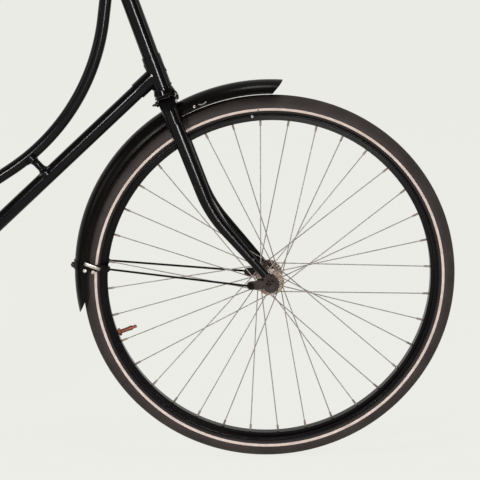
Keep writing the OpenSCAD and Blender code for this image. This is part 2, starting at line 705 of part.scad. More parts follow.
// Luggage carrier
deck_z = rear_hub_at.z + rear_guard_r + deck_gap;
deck_ahead = 130;
deck_x1 = rear_hub_at.x + deck_ahead;
deck_x0 = deck_x1 - deck_l;
deck_y = deck_w / 2;
leg_d = rod_d - 2;
deck_stay = ss_at((deck_z - rear_hub_at.z) / ss_dir.z / ss_l);
module carrier() color("#111111") difference() {
    union() {
        bent([[deck_x1, deck_y, deck_z], [deck_x0, deck_y, deck_z], [deck_x0, -deck_y, deck_z],
            [deck_x1, -deck_y, deck_z]], [30, 30], rod_d);
        rod([deck_x1, -deck_y, deck_z], [deck_x1, deck_y, deck_z], rod_d);
        for (f = [0.33, 0.66]) rod([deck_x1 - f * deck_l, -deck_y, deck_z],
            [deck_x1 - f * deck_l, deck_y, deck_z], rod_d - 3);
        mirrored() rod([deck_x1, deck_stay.y, deck_z], deck_stay, rod_d - 2);
    }
    mirrored() rod(ss_tip, ss_at(1), seatstay_d - 1, seatstay_d);
}
leg_y = leg_eye_y + leg_t / 2;
leg_in = [90, 60];
leg_tops = [[deck_x0 + leg_in[0], deck_y, deck_z], [deck_x1 - leg_in[1], deck_y, deck_z]];
module carrier_legs() color("#111111") difference() {
    mirrored() for (top = leg_tops) {
        u = unit([top.x, 0, top.z] - rear_hub_at);
        plate(leg_eye_y, leg_eye_y + leg_t)
            link(flat(rear_hub_at), flat(rear_hub_at + 26 * u), nut_across);
        rod(rear_hub_at + 22 * u + [0, leg_y, 0], top, leg_d);
    }
    mirrored() rod([deck_x1 + 1, deck_y, deck_z], [deck_x0, deck_y, deck_z], rod_d);
    disc(rear_hub_at, axle_d, -100, 100);
}
// Coaster brake arm along the left chain stay
arm_t = 3;
arm_y = rear_old / 2 - cone_t - arm_t - seat_gap;
arm_w = 18;
arm_below = 21;
arm_knee = rear_hub_at - 50 * stay_dir + [0, 0, -arm_below];
arm_end = stay_at(0.6) + [0, 0, -arm_below];
arm_clip = stay_at(0.62);
module brake_arm() color("gray") difference() {
    union() {
        plate(arm_y, arm_y + arm_t) {
            link(flat(rear_hub_at), flat(arm_knee), arm_w);
            link(flat(arm_knee), flat(arm_end), arm_w);
        }
        rod(stay_at(0.605), stay_at(0.635), chainstay_d + 3);
        plate(arm_y, arm_y + arm_t) link(flat(arm_clip), flat(arm_clip + [0, 0, -arm_below]), 13);
    }
    rod(stay_at(0), cs_tip, chainstay_d, chainstay_d - 2);
    disc(rear_hub_at, axle_d, -100, 100);
}
// Stand
pivot_at = [bb_at.x - stand_back, 0, bb_h - stand_drop];
pivot_d = 12;
eye_d = 24;
eye_in_y = 20;
eye_out_y = 34;
module stand_bracket() color("gray") {
    z = stay_at(stand_back / (bb_at.x - rear_hub_at.x)).z - chainstay_d / 2 - seat_gap;
    translate([pivot_at.x, 0, z]) rotate([0, stay_slope, 0]) translate([-10, -36, -6]) cube([44, 72, 6]);
    translate([pivot_at.x - eye_d / 2, -eye_in_y + 5, pivot_at.z])
        cube([eye_d, 2 * eye_in_y - 10, z - pivot_at.z - 4]);
    disc(pivot_at, eye_d, -eye_in_y + 5, eye_in_y - 5);
    disc(pivot_at, pivot_d, -eye_out_y - 4, eye_out_y + 4);
}
stand_straight = 52;
stand_lead = 16;
foot_h = 20;
module stand() color("gray") difference() {
    mirrored() {
        bent([pivot_at + [0, stand_top_y, 0], pivot_at + [0, stand_top_y, -stand_straight],
            [pivot_at.x + stand_lead, stand_foot_y, foot_h / 2]], [40], stand_d);
        disc(pivot_at, eye_d, eye_in_y, eye_out_y);
        cross_z = pivot_at.z - stand_straight + 18;
        rod([pivot_at.x, 0, cross_z], [pivot_at.x, stand_top_y, cross_z], 10);
        translate([pivot_at.x + stand_lead, stand_foot_y, 0]) cylinder(h = foot_h, d = stand_d + 8);
    }
    disc(pivot_at, pivot_d + 2 * run_gap, -50, 50);
}

// Fork
crown_half = blade_y + blade_t / 2 + 3;
// Half the space between the blades, and where the crown's rounded ends begin
crown_in = blade_y - blade_t / 2 - 1;
crown_round = crown_half - blade_w / 2 - 2;
steerer_top = head_s1 + cup_t + cup_gap + nut_t;
module fork_crown() color("#111111") on_steer() difference() {
    union() {
        intersection() {
            translate([0, 0, crown_s - crown_drop]) linear_extrude(crown_drop + crown_t)
                rotate(90) link([-crown_round, 0], [crown_round, 0], blade_w + 4);
            rotate([90, 0, 90]) linear_extrude(blade_w + 10, center = true) polygon([
                [-crown_half, crown_s - crown_drop], [-crown_in, crown_s - crown_drop], [-crown_in, crown_s],
                [crown_in, crown_s], [crown_in, crown_s - crown_drop], [crown_half, crown_s - crown_drop],
                [crown_half, crown_s + 2], [crown_half - 22, crown_top], [-crown_half + 22, crown_top],
                [-crown_half, crown_s + 2]]);
        }
        translate([0, 0, crown_s + 4]) cylinder(h = steerer_top - crown_s - 4, d = steerer_d);
        translate([0, 0, crown_top - eps]) cylinder(h = race_t, d1 = cup_d - 2, d2 = cup_d - 8);
    }
    translate([0, 0, crown_s + 30]) cylinder(h = head_s1, d = bar_d + 2 * seat_gap);
    bolt_line(-40, 80, bolt_d + 2 * seat_gap);
    // The underside follows the mudguard that passes below it
    translate([fork_rake + guard_rel * head_ahead, 0, guard_rel * head_dir])
        rotate([90, 0, 0]) cylinder(h = 2 * crown_in, r = front_guard_r + seat_gap, center = true, $fn = 128);
}
head_ahead = [sin(head_angle), 0, cos(head_angle)];
guard_rel = guard_at - front_hub_at;
bolt_d = 7;
bolt_up = 9.5;
// A round length of the bolt through the crown: its start ahead of the steering axis, length, diameter
module bolt_line(x, l, d, sides = 48) translate([x, 0, crown_s + bolt_up]) rotate([0, 90, 0])
    cylinder(h = l, d = d, $fn = sides);
module crown_bolt() color("gray") on_steer() {
    bolt_line(-34, 56, bolt_d);
    bolt_line(-28, 7, 13 / cos(30), 6);
    bolt_line(blade_w / 2 + 3, 5, 11);
}
blade_s0 = 20;
blade_end_y = fork_old / 2 + end_t / 2;
blade_corner = [blade_bend_s, 5];
blade_end = [blade_s0, fork_rake - 4];
blade_top = [crown_s - crown_drop - 2 * seat_gap, 1];
function blend(a, b, t) = a + (b - a) * t;
// The blade's centre line in the steering plane: straight, curved, straight
function blade_path(n) = let (u = (blade_corner - blade_top) / norm(blade_corner - blade_top),
    v = (blade_end - blade_corner) / norm(blade_end - blade_corner), turn = acos(u * v),
    lead = blade_bend_r * tan(turn / 2), side = (v - (v * u) * u) / norm(v - (v * u) * u),
    c = blade_corner - lead * u + blade_bend_r * side, step_a = turn / n)
    concat([blade_top],
        [for (k = [0:n]) c + blade_bend_r * (sin(step_a * k) * u - cos(step_a * k) * side)],
        [blend(blade_corner + lead * v, blade_end, 0.5), blade_end]);
blade_line = blade_path(9);
blade_share = [for (p = blade_line) (blade_top[0] - p[0]) / (blade_top[0] - blade_end[0])];
module fork_blade(side) color("#111111") oval_sweep(
    [for (i = [0:len(blade_line) - 1]) steer(blade_line[i][0], blade_line[i][1],
        side * blend(blade_y, blade_end_y, blade_share[i]))],
    [for (t = blade_share) blend(blade_w, blade_tip_d, t * t)],
    [for (t = blade_share) blend(blade_t, end_t + 2, t * t)]);
module fork_blade_right() fork_blade(-1);
module fork_blade_left() fork_blade(1);
lug_at = front_hub_at + [-38, 0, -2];
// The blade's direction at its lower end, in the side view
blade_out = unit(steer(blade_end[0], blade_end[1]) - steer(blade_corner[0], blade_corner[1]));
module fork_end_outline() {
    translate(flat(front_hub_at)) circle(r = end_r);
    link(flat(lug_at), flat(front_hub_at), end_r);
    translate(flat(steer(blade_end[0], blade_end[1]))) rotate(atan2(blade_out.z, blade_out.x))
        translate([seat_gap, -blade_tip_d / 2]) square([blade_s0, blade_tip_d]);
}
module fork_ends() color("#3a2a20") difference() {
    mirrored() plate(fork_old / 2, fork_old / 2 + end_t) fork_end_outline();
    disc(front_hub_at, axle_d + 2 * eps, -100, 100);
}
module head_nuts() color("silver") on_steer(head_s1 + cup_t + cup_gap) difference() {
    union() {
        cylinder(h = nut_t * 0.4, d = head_d + 4);
        translate([0, 0, nut_t * 0.4]) cylinder(h = nut_t * 0.6, d = (head_d + 1) / cos(30), $fn = 6);
    }
    translate([0, 0, -1]) cylinder(h = nut_t + 2, d = steerer_d + 2 * eps);
}
// Stem, handlebar and what is on it
bar_at = steer(stem_s) + [stem_reach, 0, 0];
clamp_w = 34;
module stem() color("silver") difference() {
    union() {
        bent([steer(head_s1 - 60), steer(stem_s), bar_at], [20], bar_d);
        disc(bar_at, bar_d + 12, -clamp_w / 2, clamp_w / 2);
    }
    disc(bar_at, bar_d + 2 * eps, -100, 100);
}
bar_path = [bar_at + [0, 70, 0], bar_at + [75, 195, bar_rise],
    bar_at + [-bar_sweep, bar_end_y, bar_rise - 30]];
module handlebar() color("silver")
    bent([for (k = [2:-1:0]) flip(bar_path[k], -1), each bar_path], [58, 55, 55, 58], bar_d);
bar_dir = unit(bar_path[2] - bar_path[1]);
module grip(side) color("#151515") difference() {
    rod(flip(bar_path[2] + 4 * bar_dir, side), flip(bar_path[2] - grip_l * bar_dir, side), grip_d);
    rod(flip(bar_path[2], side), flip(bar_path[2] - 2 * grip_l * bar_dir, side), bar_d + 2 * eps);
}
function flip(p, side) = [p.x, side * p.y, p.z];
module grip_right() grip(-1);
module grip_left() grip(1);
bell_r = 27;
bell_h = 16;
bell_ball_r = (bell_r * bell_r + bell_h * bell_h) / (2 * bell_h);
module bell() color("silver") translate(bar_at + [0, 42, 0]) {
    rotate([90, 0, 0]) difference() {
        cylinder(h = 12, d = bar_d + 7, center = true);
        cylinder(h = 14, d = bar_d + 2 * eps, center = true);
    }
    translate([0, 0, bar_d / 2 + 2]) cylinder(h = 14, d = 10);
    translate([0, 0, bar_d / 2 + 10]) rotate_extrude() intersection() {
        translate([0, bell_h - bell_ball_r]) circle(r = bell_ball_r, $fn = 96);
        square([bell_r, bell_h]);
    }
    translate([0, 0, bar_d / 2 + 10 + bell_h - 1]) cylinder(h = 4, d = 8);
}

// Wheels
bead_r = bead_dia / 2;
rim_in_r = bead_r - rim_well;
edge_d = 5;
// Rim section, in radius and width: a centre channel, two ridges and rolled edges
edge_up = 3.5;
module rim_edges(d) for (s = [-1, 1]) translate([bead_r + edge_up, s * (rim_w / 2 - edge_d / 2)])
    circle(d = d, $fn = 24);
module rim_section() {
    rim_edges(edge_d);
    for (s = [-1, 1]) {
        translate([bead_r - rim_t, s * rim_w / 2 - (s > 0 ? rim_t + 1 : -1)]) square([4, rim_t]);
        translate([bead_r - rim_t, s > 0 ? rim_w / 4 : -rim_w / 2 + 1]) square([rim_t, rim_w / 4 - 1]);
        translate([rim_in_r, s > 0 ? rim_w / 4 - 1 : -rim_w / 4 + 1 - rim_t])
            square([bead_r - rim_in_r, rim_t]);
    }
    translate([rim_in_r, -rim_w / 4]) square([rim_t, rim_w / 2]);
}
first_spoke = 3.3;
step = 360 / spoke_count;
nip_head_d = 6;
// One row per spoke: angle at the rim, side, angle at the hub, outside of the flange or not
spokes = [for (k = [0:spoke_count - 1]) let (a = first_spoke + step * k, lead = floor(k / 2) % 2 == 0 ? 1 : -1)
    [a, k % 2 == 1 ? 1 : -1, a + lead * 2 * step * spoke_cross, lead]];
over_flange = 1.1;
function elbow(s, hole_r, flange_y) = [hole_r * cos(s[2]), hole_r * sin(s[2]),
    s[1] * (flange_y + s[3] * (flange_t / 2 + spoke_d / 2 + (s[3] > 0 ? over_flange : 0.05)))];
function rim_hole(s) = [rim_in_r * cos(s[0]), rim_in_r * sin(s[0]), 0];
module spoke_set(hole_r, flange_y) for (s = spokes) {
    e = elbow(s, hole_r, flange_y);
    n = rim_hole(s);
    u = unit(n - e);
    rod(e, n, spoke_d, $fn = 16);
    translate(e) sphere(d = spoke_d, $fn = 16);
    far = [e.x, e.y, s[1] * (flange_y - s[3] * (flange_t / 2 + 0.05))];
    end = [e.x, e.y, s[1] * (flange_y - s[3] * (flange_t / 2 + 1.1))];
    rod(e, end, spoke_d, $fn = 16);
    rod(far, end, spoke_d + 1.6, $fn = 16);
    rod(n - nipple_l * u, n + 3 * u, nipple_d, $fn = 16);
    rod(n + 2.4 * u, n + 4.2 * u, nip_head_d, $fn = 16);
}
module spoke_holes(hole_r, flange_y) for (s = spokes) {
    n = rim_hole(s);
    u = unit(n - elbow(s, hole_r, flange_y));
    rod(n - 4 * u, n + 8 * u, nipple_d + 0.4, $fn = 16);
}
valve_a = 200;
valve_d = 8;
module rim(hole_r, flange_y) difference() {
    rotate_extrude($fn = 128) rim_section();
    spoke_holes(hole_r, flange_y);
    rotate([0, 0, valve_a]) translate([rim_in_r - 2, 0, 0]) rotate([0, 90, 0])
        cylinder(h = 6, d = valve_d + 0.6);
}
module valve() rotate([0, 0, valve_a]) translate([rim_in_r - valve_l, 0, 0]) rotate([0, 90, 0]) {
    cylinder(h = 9, d = 6);
    translate([0, 0, 9]) cylinder(h = 6, d = 9);
    translate([0, 0, 15]) cylinder(h = valve_l - 12, d = valve_d);
    translate([0, 0, valve_l - 6]) cylinder(h = 5, d = 13 / cos(30), $fn = 6);
    translate([0, 0, valve_l + rim_t + 0.3]) cylinder(h = 2, d = 12);
}
tyre_mid = wheel_r - tyre_w / 2;
// Tyre section: a round casing, open between its beads, with room for the rim's edges
bead_in_y = 7.5;
bead_w = 6;
bead_h = 6;
module tyre_section() difference() {
    union() {
        difference() {
            translate([tyre_mid, 0]) circle(d = tyre_w, $fn = 48);
            translate([tyre_mid, 0]) circle(d = tyre_w - 2 * casing_t, $fn = 48);
            translate([bead_r - tyre_h, -tyre_w / 2]) square([tyre_h + seat_gap, tyre_w]);
        }
        for (y = [bead_in_y, -bead_in_y - bead_w]) translate([bead_r + seat_gap, y])
            square([bead_h, bead_w]);
    }
    translate([bead_r, -bead_in_y]) square([bead_h + seat_gap + 2, 2 * bead_in_y]);
    rim_edges(edge_d + 2 * seat_gap);
}
module tyre() rotate_extrude($fn = 160) tyre_section();
flare = 6;
module hub_body(hole_r, flange_y, waist, end_y) difference() {
    union() {
        cylinder(h = 2 * end_y, r = waist, center = true);
        for (s = [-1, 1]) {
            translate([0, 0, s * flange_y]) cylinder(h = flange_t, r = hole_r + flange_rim, center = true);
            scale([1, 1, s]) translate([0, 0, flange_y - flange_t / 2 - flare])
                cylinder(h = flare, r1 = waist, r2 = waist + 4);
        }
    }
    cylinder(h = 200, d = axle_d + 2 * run_gap, center = true);
    for (s = spokes) translate([hole_r * cos(s[2]), hole_r * sin(s[2]), s[1] * flange_y])
        cylinder(h = flange_t + 2, d = spoke_d + 0.3, center = true, $fn = 16);
}
module front_hub() color("silver") at_hub(front_hub_at)
    hub_body(front_hole_r, front_flange_y, front_waist_r, fork_old / 2 - cone_t - run_gap);
module front_spokes() color("silver") at_hub(front_hub_at) spoke_set(front_hole_r, front_flange_y);
module front_rim() color("#151515") at_hub(front_hub_at) rim(front_hole_r, front_flange_y);
module front_tyre() color("#2c2625") at_hub(front_hub_at) tyre();
module front_valve() color("goldenrod") at_hub(front_hub_at) valve();
module rear_hub() color("silver") at_hub(rear_hub_at)
    hub_body(rear_hole_r, rear_flange_y, rear_waist_r, rear_old / 2 - cone_t - arm_t - 1);
module rear_spokes() color("silver") at_hub(rear_hub_at) spoke_set(rear_hole_r, rear_flange_y);
module rear_rim() color("#151515") at_hub(rear_hub_at) rim(rear_hole_r, rear_flange_y);
module rear_tyre() color("#2c2625") at_hub(rear_hub_at) tyre();
module rear_valve() color("goldenrod") at_hub(rear_hub_at) valve();

// Cranks and pedals: the right one points forward and up
crank_out = crank_y + crank_t;
function pedal_at(side) = bb_at
    + [-side * crank_l * cos(crank_angle), side * crank_out, -side * crank_l * sin(crank_angle)];
pedal_gap = 4;
module cranks() color("silver") {
    disc(bb_at, spindle_d, -crank_out - 2, crank_out + 2);
    for (side = [-1, 1]) {
        p = pedal_at(side);
        y0 = side > 0 ? crank_y : -crank_out;
        difference() {
            plate(y0, y0 + crank_t) {
                translate(flat(bb_at)) circle(r = 17);
                polygon(belt(flat(bb_at), 13, flat(p), 10));
                translate(flat(p)) circle(r = 12);
            }
        }
        disc(p, pedal_pin_d, min(side * crank_out, side * (crank_out + pedal_l + 8)) - (side > 0 ? 1 : 0),
            max(side * crank_out, side * (crank_out + pedal_l + 8)) + (side < 0 ? 1 : 0));
    }
}
module pedal(side) color("#202020") translate(pedal_at(side)) difference() {
    union() {
        y0 = side > 0 ? pedal_gap : -pedal_gap - pedal_l;
        disc([0, 0, 0], 22, y0, y0 + pedal_l);
        for (e = [0, pedal_l - 5]) translate([-pedal_w / 2 + 8, y0 + e, -9]) cube([pedal_w - 16, 5, 18]);
        for (s = [-1, 1]) translate([s * (pedal_w / 2 - 11) - 11, y0 + 5, -13])
            cube([22, pedal_l - 10, 26]);
    }
    disc([0, 0, 0], pedal_pin_d + 2 * run_gap, -200, 200);
}
module pedal_right() pedal(-1);
module pedal_left() pedal(1);

head_tube();
head_cups();
down_tube();
upper_tube();
tube_bridge();
seat_tube();
bracket_shell();
chain_stays();
seat_stays();
stay_bridges();
rear_ends();
rear_axle();
seat_post();
saddle();
saddle_springs();
saddle_rails();
chain_case();
rear_guard();
rear_guard_stays();
reflector();
carrier();
carrier_legs();
brake_arm();
stand_bracket();
fork_crown();
fork_blade_right();
fork_blade_left();
fork_ends();
front_axle();
head_nuts();
crown_bolt();
front_guard();
front_guard_stays();
stem();
handlebar();
grip_right();
grip_left();
bell();
front_hub();
front_spokes();
front_rim();
front_tyre();
front_valve();
rear_hub();
rear_spokes();
rear_rim();
rear_tyre();
rear_valve();
cranks();
pedal_right();
pedal_left();
stand();
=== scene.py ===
import json
import math
import bmesh
import bpy
from mathutils import Matrix, Vector


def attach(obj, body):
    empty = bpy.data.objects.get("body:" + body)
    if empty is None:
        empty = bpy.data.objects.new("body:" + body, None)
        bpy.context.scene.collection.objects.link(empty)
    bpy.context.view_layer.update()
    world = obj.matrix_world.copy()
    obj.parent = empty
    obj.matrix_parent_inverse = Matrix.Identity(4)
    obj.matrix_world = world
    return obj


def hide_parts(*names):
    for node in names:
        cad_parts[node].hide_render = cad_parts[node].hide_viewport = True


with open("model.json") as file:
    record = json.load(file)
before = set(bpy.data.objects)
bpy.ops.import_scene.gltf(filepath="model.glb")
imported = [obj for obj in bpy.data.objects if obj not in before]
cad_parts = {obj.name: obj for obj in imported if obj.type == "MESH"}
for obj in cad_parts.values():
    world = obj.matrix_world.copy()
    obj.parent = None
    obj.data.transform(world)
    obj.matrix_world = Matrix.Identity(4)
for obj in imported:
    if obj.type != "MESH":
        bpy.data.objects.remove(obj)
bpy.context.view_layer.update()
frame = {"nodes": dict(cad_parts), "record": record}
scene = bpy.context.scene
nodes = frame["nodes"]
print("frame loaded:", len(nodes), "nodes")

# Places that the pieces hang on, in metres: x forward, y to the bicycle's left, z up
wheelRadius = 0.356
frontHub = Vector((0.59195, 0, wheelRadius))
rearHub = Vector((-0.55805, 0, wheelRadius))
headAngle = math.radians(70.4)
forkRake = 0.0657
headAxis = Vector((-math.cos(headAngle), 0, math.sin(headAngle)))
headAhead = Vector((math.sin(headAngle), 0, math.cos(headAngle)))
guardHub = frontHub + Vector((-0.002, 0, 0.016))  # middle of the front mudguard's circle


def steerPoint(up, ahead=0.0, side=0.0):  # a place along the steering axis, from the axle's level
    return frontHub + headAhead * (ahead - forkRake) + headAxis * up + Vector((0, side, 0))


def roundPoint(hub, radius, degrees, side=0.0):  # a place on a circle round an axle
    a = math.radians(degrees)
    return hub + Vector((radius * math.cos(a), side, radius * math.sin(a)))


camera = {
    "offset": (-0.307, -5.000, 1.359),  # from the front wheel's centre
    "yaw": 2.87,
    "pitch": 14.39,
    "sensor": 36,
    "focal": 2712 / 480 * 36,  # pixels of a 480 pixel frame, made millimetres of the sensor
    "clipEnd": 60,
}


def makeCamera(cfg):
    data = bpy.data.cameras.new("photoCamera")
    data.sensor_width = cfg["sensor"]
    data.lens = cfg["focal"]
    data.clip_end = cfg["clipEnd"]
    obj = bpy.data.objects.new("photoCamera", data)
    scene.collection.objects.link(obj)
    yaw, pitch = math.radians(cfg["yaw"]), math.radians(cfg["pitch"])
    look = Vector((math.sin(yaw) * math.cos(pitch), math.cos(yaw) * math.cos(pitch), -math.sin(pitch)))
    obj.location = frontHub + Vector(cfg["offset"])
    obj.rotation_mode = "QUATERNION"
    obj.rotation_quaternion = look.to_track_quat("-Z", "Y")
    scene.camera = obj


makeCamera(camera)
print("camera made")


def srgb(r, g, b):  # 0 to 255 as seen, made linear
    def lin(v):
        v /= 255
        return v / 12.92 if v <= 0.04045 else ((v + 0.055) / 1.055) ** 2.4
    return (lin(r), lin(g), lin(b), 1)


class Shader:  # a material under construction: its nodes, links and a few shorthands
    def __init__(self, name):
        self.mat = bpy.data.materials.new(name)
        self.mat.use_nodes = True
        self.tree = self.mat.node_tree
        self.bsdf = self.tree.nodes["Principled BSDF"]
        self.coord = self.add("ShaderNodeTexCoord").outputs["Object"]

    def add(self, kind, **settings):
        made = self.tree.nodes.new(kind)
        for key, value in settings.items():
            setattr(made, key, value)
        return made

    def join(self, source, target):
        self.tree.links.new(source, target)

    def placed(self, at):  # coordinates centred on a place
        m = self.add("ShaderNodeMapping", vector_type="TEXTURE")
        m.inputs["Location"].default_value = at
        self.join(self.coord, m.inputs["Vector"])
        return m.outputs[0]

    def noise(self, scale, detail, rough=0.55):
        n = self.add("ShaderNodeTexNoise")
        n.inputs["Scale"].default_value = scale
        n.inputs["Detail"].default_value = detail
        n.inputs["Roughness"].default_value = rough
        self.join(self.coord, n.inputs["Vector"])
        return n.outputs["Fac"]

    def ramp(self, fac, *stops):  # stops are (place, colour or grey)
        r = self.add("ShaderNodeValToRGB")
        e = r.color_ramp.elements
        while len(e) < len(stops):
            e.new(0.5)
        for i, (place, value) in enumerate(stops):
            e[i].position = place
            e[i].color = value if isinstance(value, tuple) else (value, value, value, 1)
        self.join(fac, r.inputs[0])
        return r.outputs[0]

    def math(self, kind, a, b=0.0, c=0.0):
        n = self.add("ShaderNodeMath", operation=kind)
        for i, v in enumerate((a, b, c)):
            if isinstance(v, (int, float)):
                n.inputs[i].default_value = v
            else:
                self.join(v, n.inputs[i])
        return n.outputs[0]

    def product(self, first, *others):
        for other in others:
            first = self.math("MULTIPLY", first, other)
        return first

    def mix(self, fac, a, b):
        n = self.add("ShaderNodeMix", data_type="RGBA")
        if isinstance(fac, (int, float)):
            n.inputs["Factor"].default_value = fac
        else:
            self.join(fac, n.inputs["Factor"])
        for key, v in (("A", a), ("B", b)):
            socket = [s for s in n.inputs if s.name == key and s.type == "RGBA"][0]
            if isinstance(v, tuple):
                socket.default_value = v
            else:
                self.join(v, socket)
        return [s for s in n.outputs if s.type == "RGBA"][0]

    def cells(self, scale, feature, random=1.0):
        v = self.add("ShaderNodeTexVoronoi", feature=feature)
        v.inputs["Scale"].default_value = scale
        v.inputs["Randomness"].default_value = random
        self.join(self.coord, v.inputs["Vector"])
        return v.outputs["Distance"]

    def radius(self, at):  # distance from an axle in metres, and the three coordinates from it
        s = self.add("ShaderNodeSeparateXYZ")
        self.join(self.placed(at), s.inputs[0])
        x2 = self.math("MULTIPLY", s.outputs["X"], s.outputs["X"])
        z2 = self.math("MULTIPLY", s.outputs["Z"], s.outputs["Z"])
        return self.math("SQRT", self.math("ADD", x2, z2)), s

    def spot(self, at, size, soft=0.3):  # 1 inside a small ball round a place, 0 outside
        d = self.add("ShaderNodeVectorMath", operation="LENGTH")
        self.join(self.placed(at), d.inputs[0])
        return self.ramp(self.math("DIVIDE", d.outputs["Value"], size * 2), (0.5 - soft / 2, 1.0), (0.5, 0.0))

    def bump(self, height, strength, distance):
        b = self.add("ShaderNodeBump")
        b.inputs["Strength"].default_value = strength
        b.inputs["Distance"].default_value = distance
        self.join(height, b.inputs["Height"])
        self.join(b.outputs[0], self.bsdf.inputs["Normal"])

    def put(self, **values):  # constants, or outputs to be linked
        names = {"color": "Base Color", "metal": "Metallic", "rough": "Roughness", "spec": "Specular IOR Level",
                 "coat": "Coat Weight"}
        for key, value in values.items():
            socket = self.bsdf.inputs[names[key]]
            if isinstance(value, (int, float, tuple)):
                socket.default_value = value
            else:
                self.join(value, socket)


def enamel(name, cfg, chipsAndHighlightsAt=()):  # old gloss paint: faint dust and small brown chips
    s = Shader(name)
    dust = s.ramp(s.noise(9, 6), (0.45, 0.0), (0.85, 1.0))
    chips = s.ramp(s.noise(150, 4, 0.6), (0.66, 0.0), (0.69, 1.0))
    patch = s.ramp(s.noise(15, 2), (0.50, 0.0), (0.70, 1.0))
    chips = s.product(chips, patch, cfg["wear"])
    base = s.mix(s.math("MULTIPLY", dust, 0.6), srgb(*cfg["dark"]), srgb(*cfg["pale"]))
    base = s.mix(chips, base, srgb(*chipBrown))
    for at, size, tone in chipsAndHighlightsAt:  # larger chips, and pale spots that are painted highlights, each at its own place
        edge = s.ramp(s.noise(420, 3), (0.42, 0.0), (0.52, 1.0))
        base = s.mix(s.product(s.spot(at, size), edge), base, srgb(*tone))
    s.put(color=base, spec=cfg["gloss"])
    s.put(rough=s.math("MULTIPLY_ADD", dust, 0.08, cfg["rough"]))
    s.bump(chips, 0.15, 0.0002)
    return s.mat


chipBrown = (84, 62, 50)
frameEnamel = {"dark": (8, 6, 7), "pale": (15, 13, 14), "rough": 0.17, "wear": 0.5, "gloss": 0.14}
guardEnamel = {"dark": (10, 7, 7), "pale": (20, 15, 13), "rough": 0.24, "wear": 0.8, "gloss": 0.08}
rimEnamel = {"dark": (11, 8, 9), "pale": (20, 16, 15), "rough": 0.20, "wear": 0.5, "gloss": 0.08}
# the near-white spots, by the front axle and on the head lug, are painted highlights; the grey-brown ones are chips
frameChipsAndHighlights = [(roundPoint(frontHub, 0.0278, 171.6, -0.055), 0.0028, (214, 206, 196)),  # place, size, colour
              (roundPoint(frontHub, 0.060, 124.0, -0.052), 0.0030, (96, 86, 80)),
              (roundPoint(frontHub, 0.078, 126.0, -0.051), 0.0030, (84, 74, 68)),
              (steerPoint(0.4488, -0.0104, -0.014), 0.003, (196, 190, 184))]
# a near-white spot near the rim's top: a painted highlight
rimHighlightSpot = [(roundPoint(frontHub, 0.3200, 96.1, -0.014), 0.004, (216, 212, 208))]


def plated(name, cfg):  # plate with haze and rust spots
    s = Shader(name)
    haze = s.ramp(s.noise(30, 5), (0.35, 0.0), (0.75, 1.0))
    spots = s.ramp(s.noise(230, 5, 0.65), (0.50, 0.0), (0.64, 1.0))
    area = s.ramp(s.noise(26, 3), (0.40, 0.0), (0.60, 1.0))
    spots = s.product(spots, area, cfg["rust"])
    s.put(color=s.mix(spots, s.mix(haze, srgb(*cfg["bright"]), srgb(*cfg["dull"])), srgb(*cfg["rustColor"])))
    s.put(metal=s.math("MULTIPLY_ADD", spots, -0.85 * cfg["metal"], cfg["metal"]))
    rusted = s.math("MULTIPLY_ADD", spots, 0.35, cfg["rough"])
    s.put(rough=s.math("ADD", s.math("MULTIPLY", haze, 0.14), rusted))
    s.bump(spots, 0.25, 0.0004)
    return s.mat


endPlate = {"bright": (36, 29, 27), "dull": (18, 13, 12), "rough": 0.42, "rust": 1.0, "rustColor": (78, 46, 32),
            "metal": 0.6}
chromePlate = {"bright": (198, 195, 192), "dull": (164, 158, 154), "rough": 0.10, "rust": 0.4,
               "rustColor": (96, 58, 36), "metal": 1.0}
zincPlate = {"bright": (150, 150, 152), "dull": (112, 110, 110), "rough": 0.38, "rust": 0.4,
             "rustColor": (96, 58, 36), "metal": 1.0}
brassPlate = {"bright": (132, 78, 60), "dull": (96, 56, 44), "rough": 0.34, "rust": 0.3, "rustColor": (70, 44, 36),
              "metal": 1.0}
wornSteel = {"bright": (206, 198, 190), "dull": (120, 104, 96), "rough": 0.30, "rust": 0.9,
             "rustColor": (70, 48, 38), "metal": 1.0}
boltBlack = {"bright": (44, 40, 38), "dull": (22, 19, 18), "rough": 0.30, "rust": 0.4, "rustColor": (84, 60, 46),
             "metal": 0.6}
wireLook = {"clean": (146, 141, 137), "stained": (126, 108, 99), "ends": (122, 96, 80), "rimRadius": 0.32,
            "metal": 0.35, "rough": 0.42}


def spokeWire(name, hub, cfg):  # drawn wire, brown where it meets the nipple and the flange
    s = Shader(name)
    radius, _ = s.radius(hub)
    ends = s.ramp(s.math("DIVIDE", radius, cfg["rimRadius"]), (0.10, 1.0), (0.20, 0.0), (0.915, 0.0), (0.945, 1.0))
    stain = s.ramp(s.noise(60, 4), (0.40, 0.0), (0.62, 1.0))
    wire = s.mix(s.math("MULTIPLY", stain, 0.45), srgb(*cfg["clean"]), srgb(*cfg["stained"]))
    wire = s.mix(s.math("MULTIPLY", ends, 0.5), wire, srgb(*cfg["ends"]))
    s.put(color=wire, metal=cfg["metal"], rough=cfg["rough"])
    s.bump(s.noise(900, 2), 0.1, 0.0002)
    return s.mat


hubLook = {"plate": (150, 140, 132), "worn": (104, 82, 66), "grime": (40, 29, 25), "grease": (50, 36, 30),
           "flange": 0.04, "rough": 0.26, "metal": 0.9}


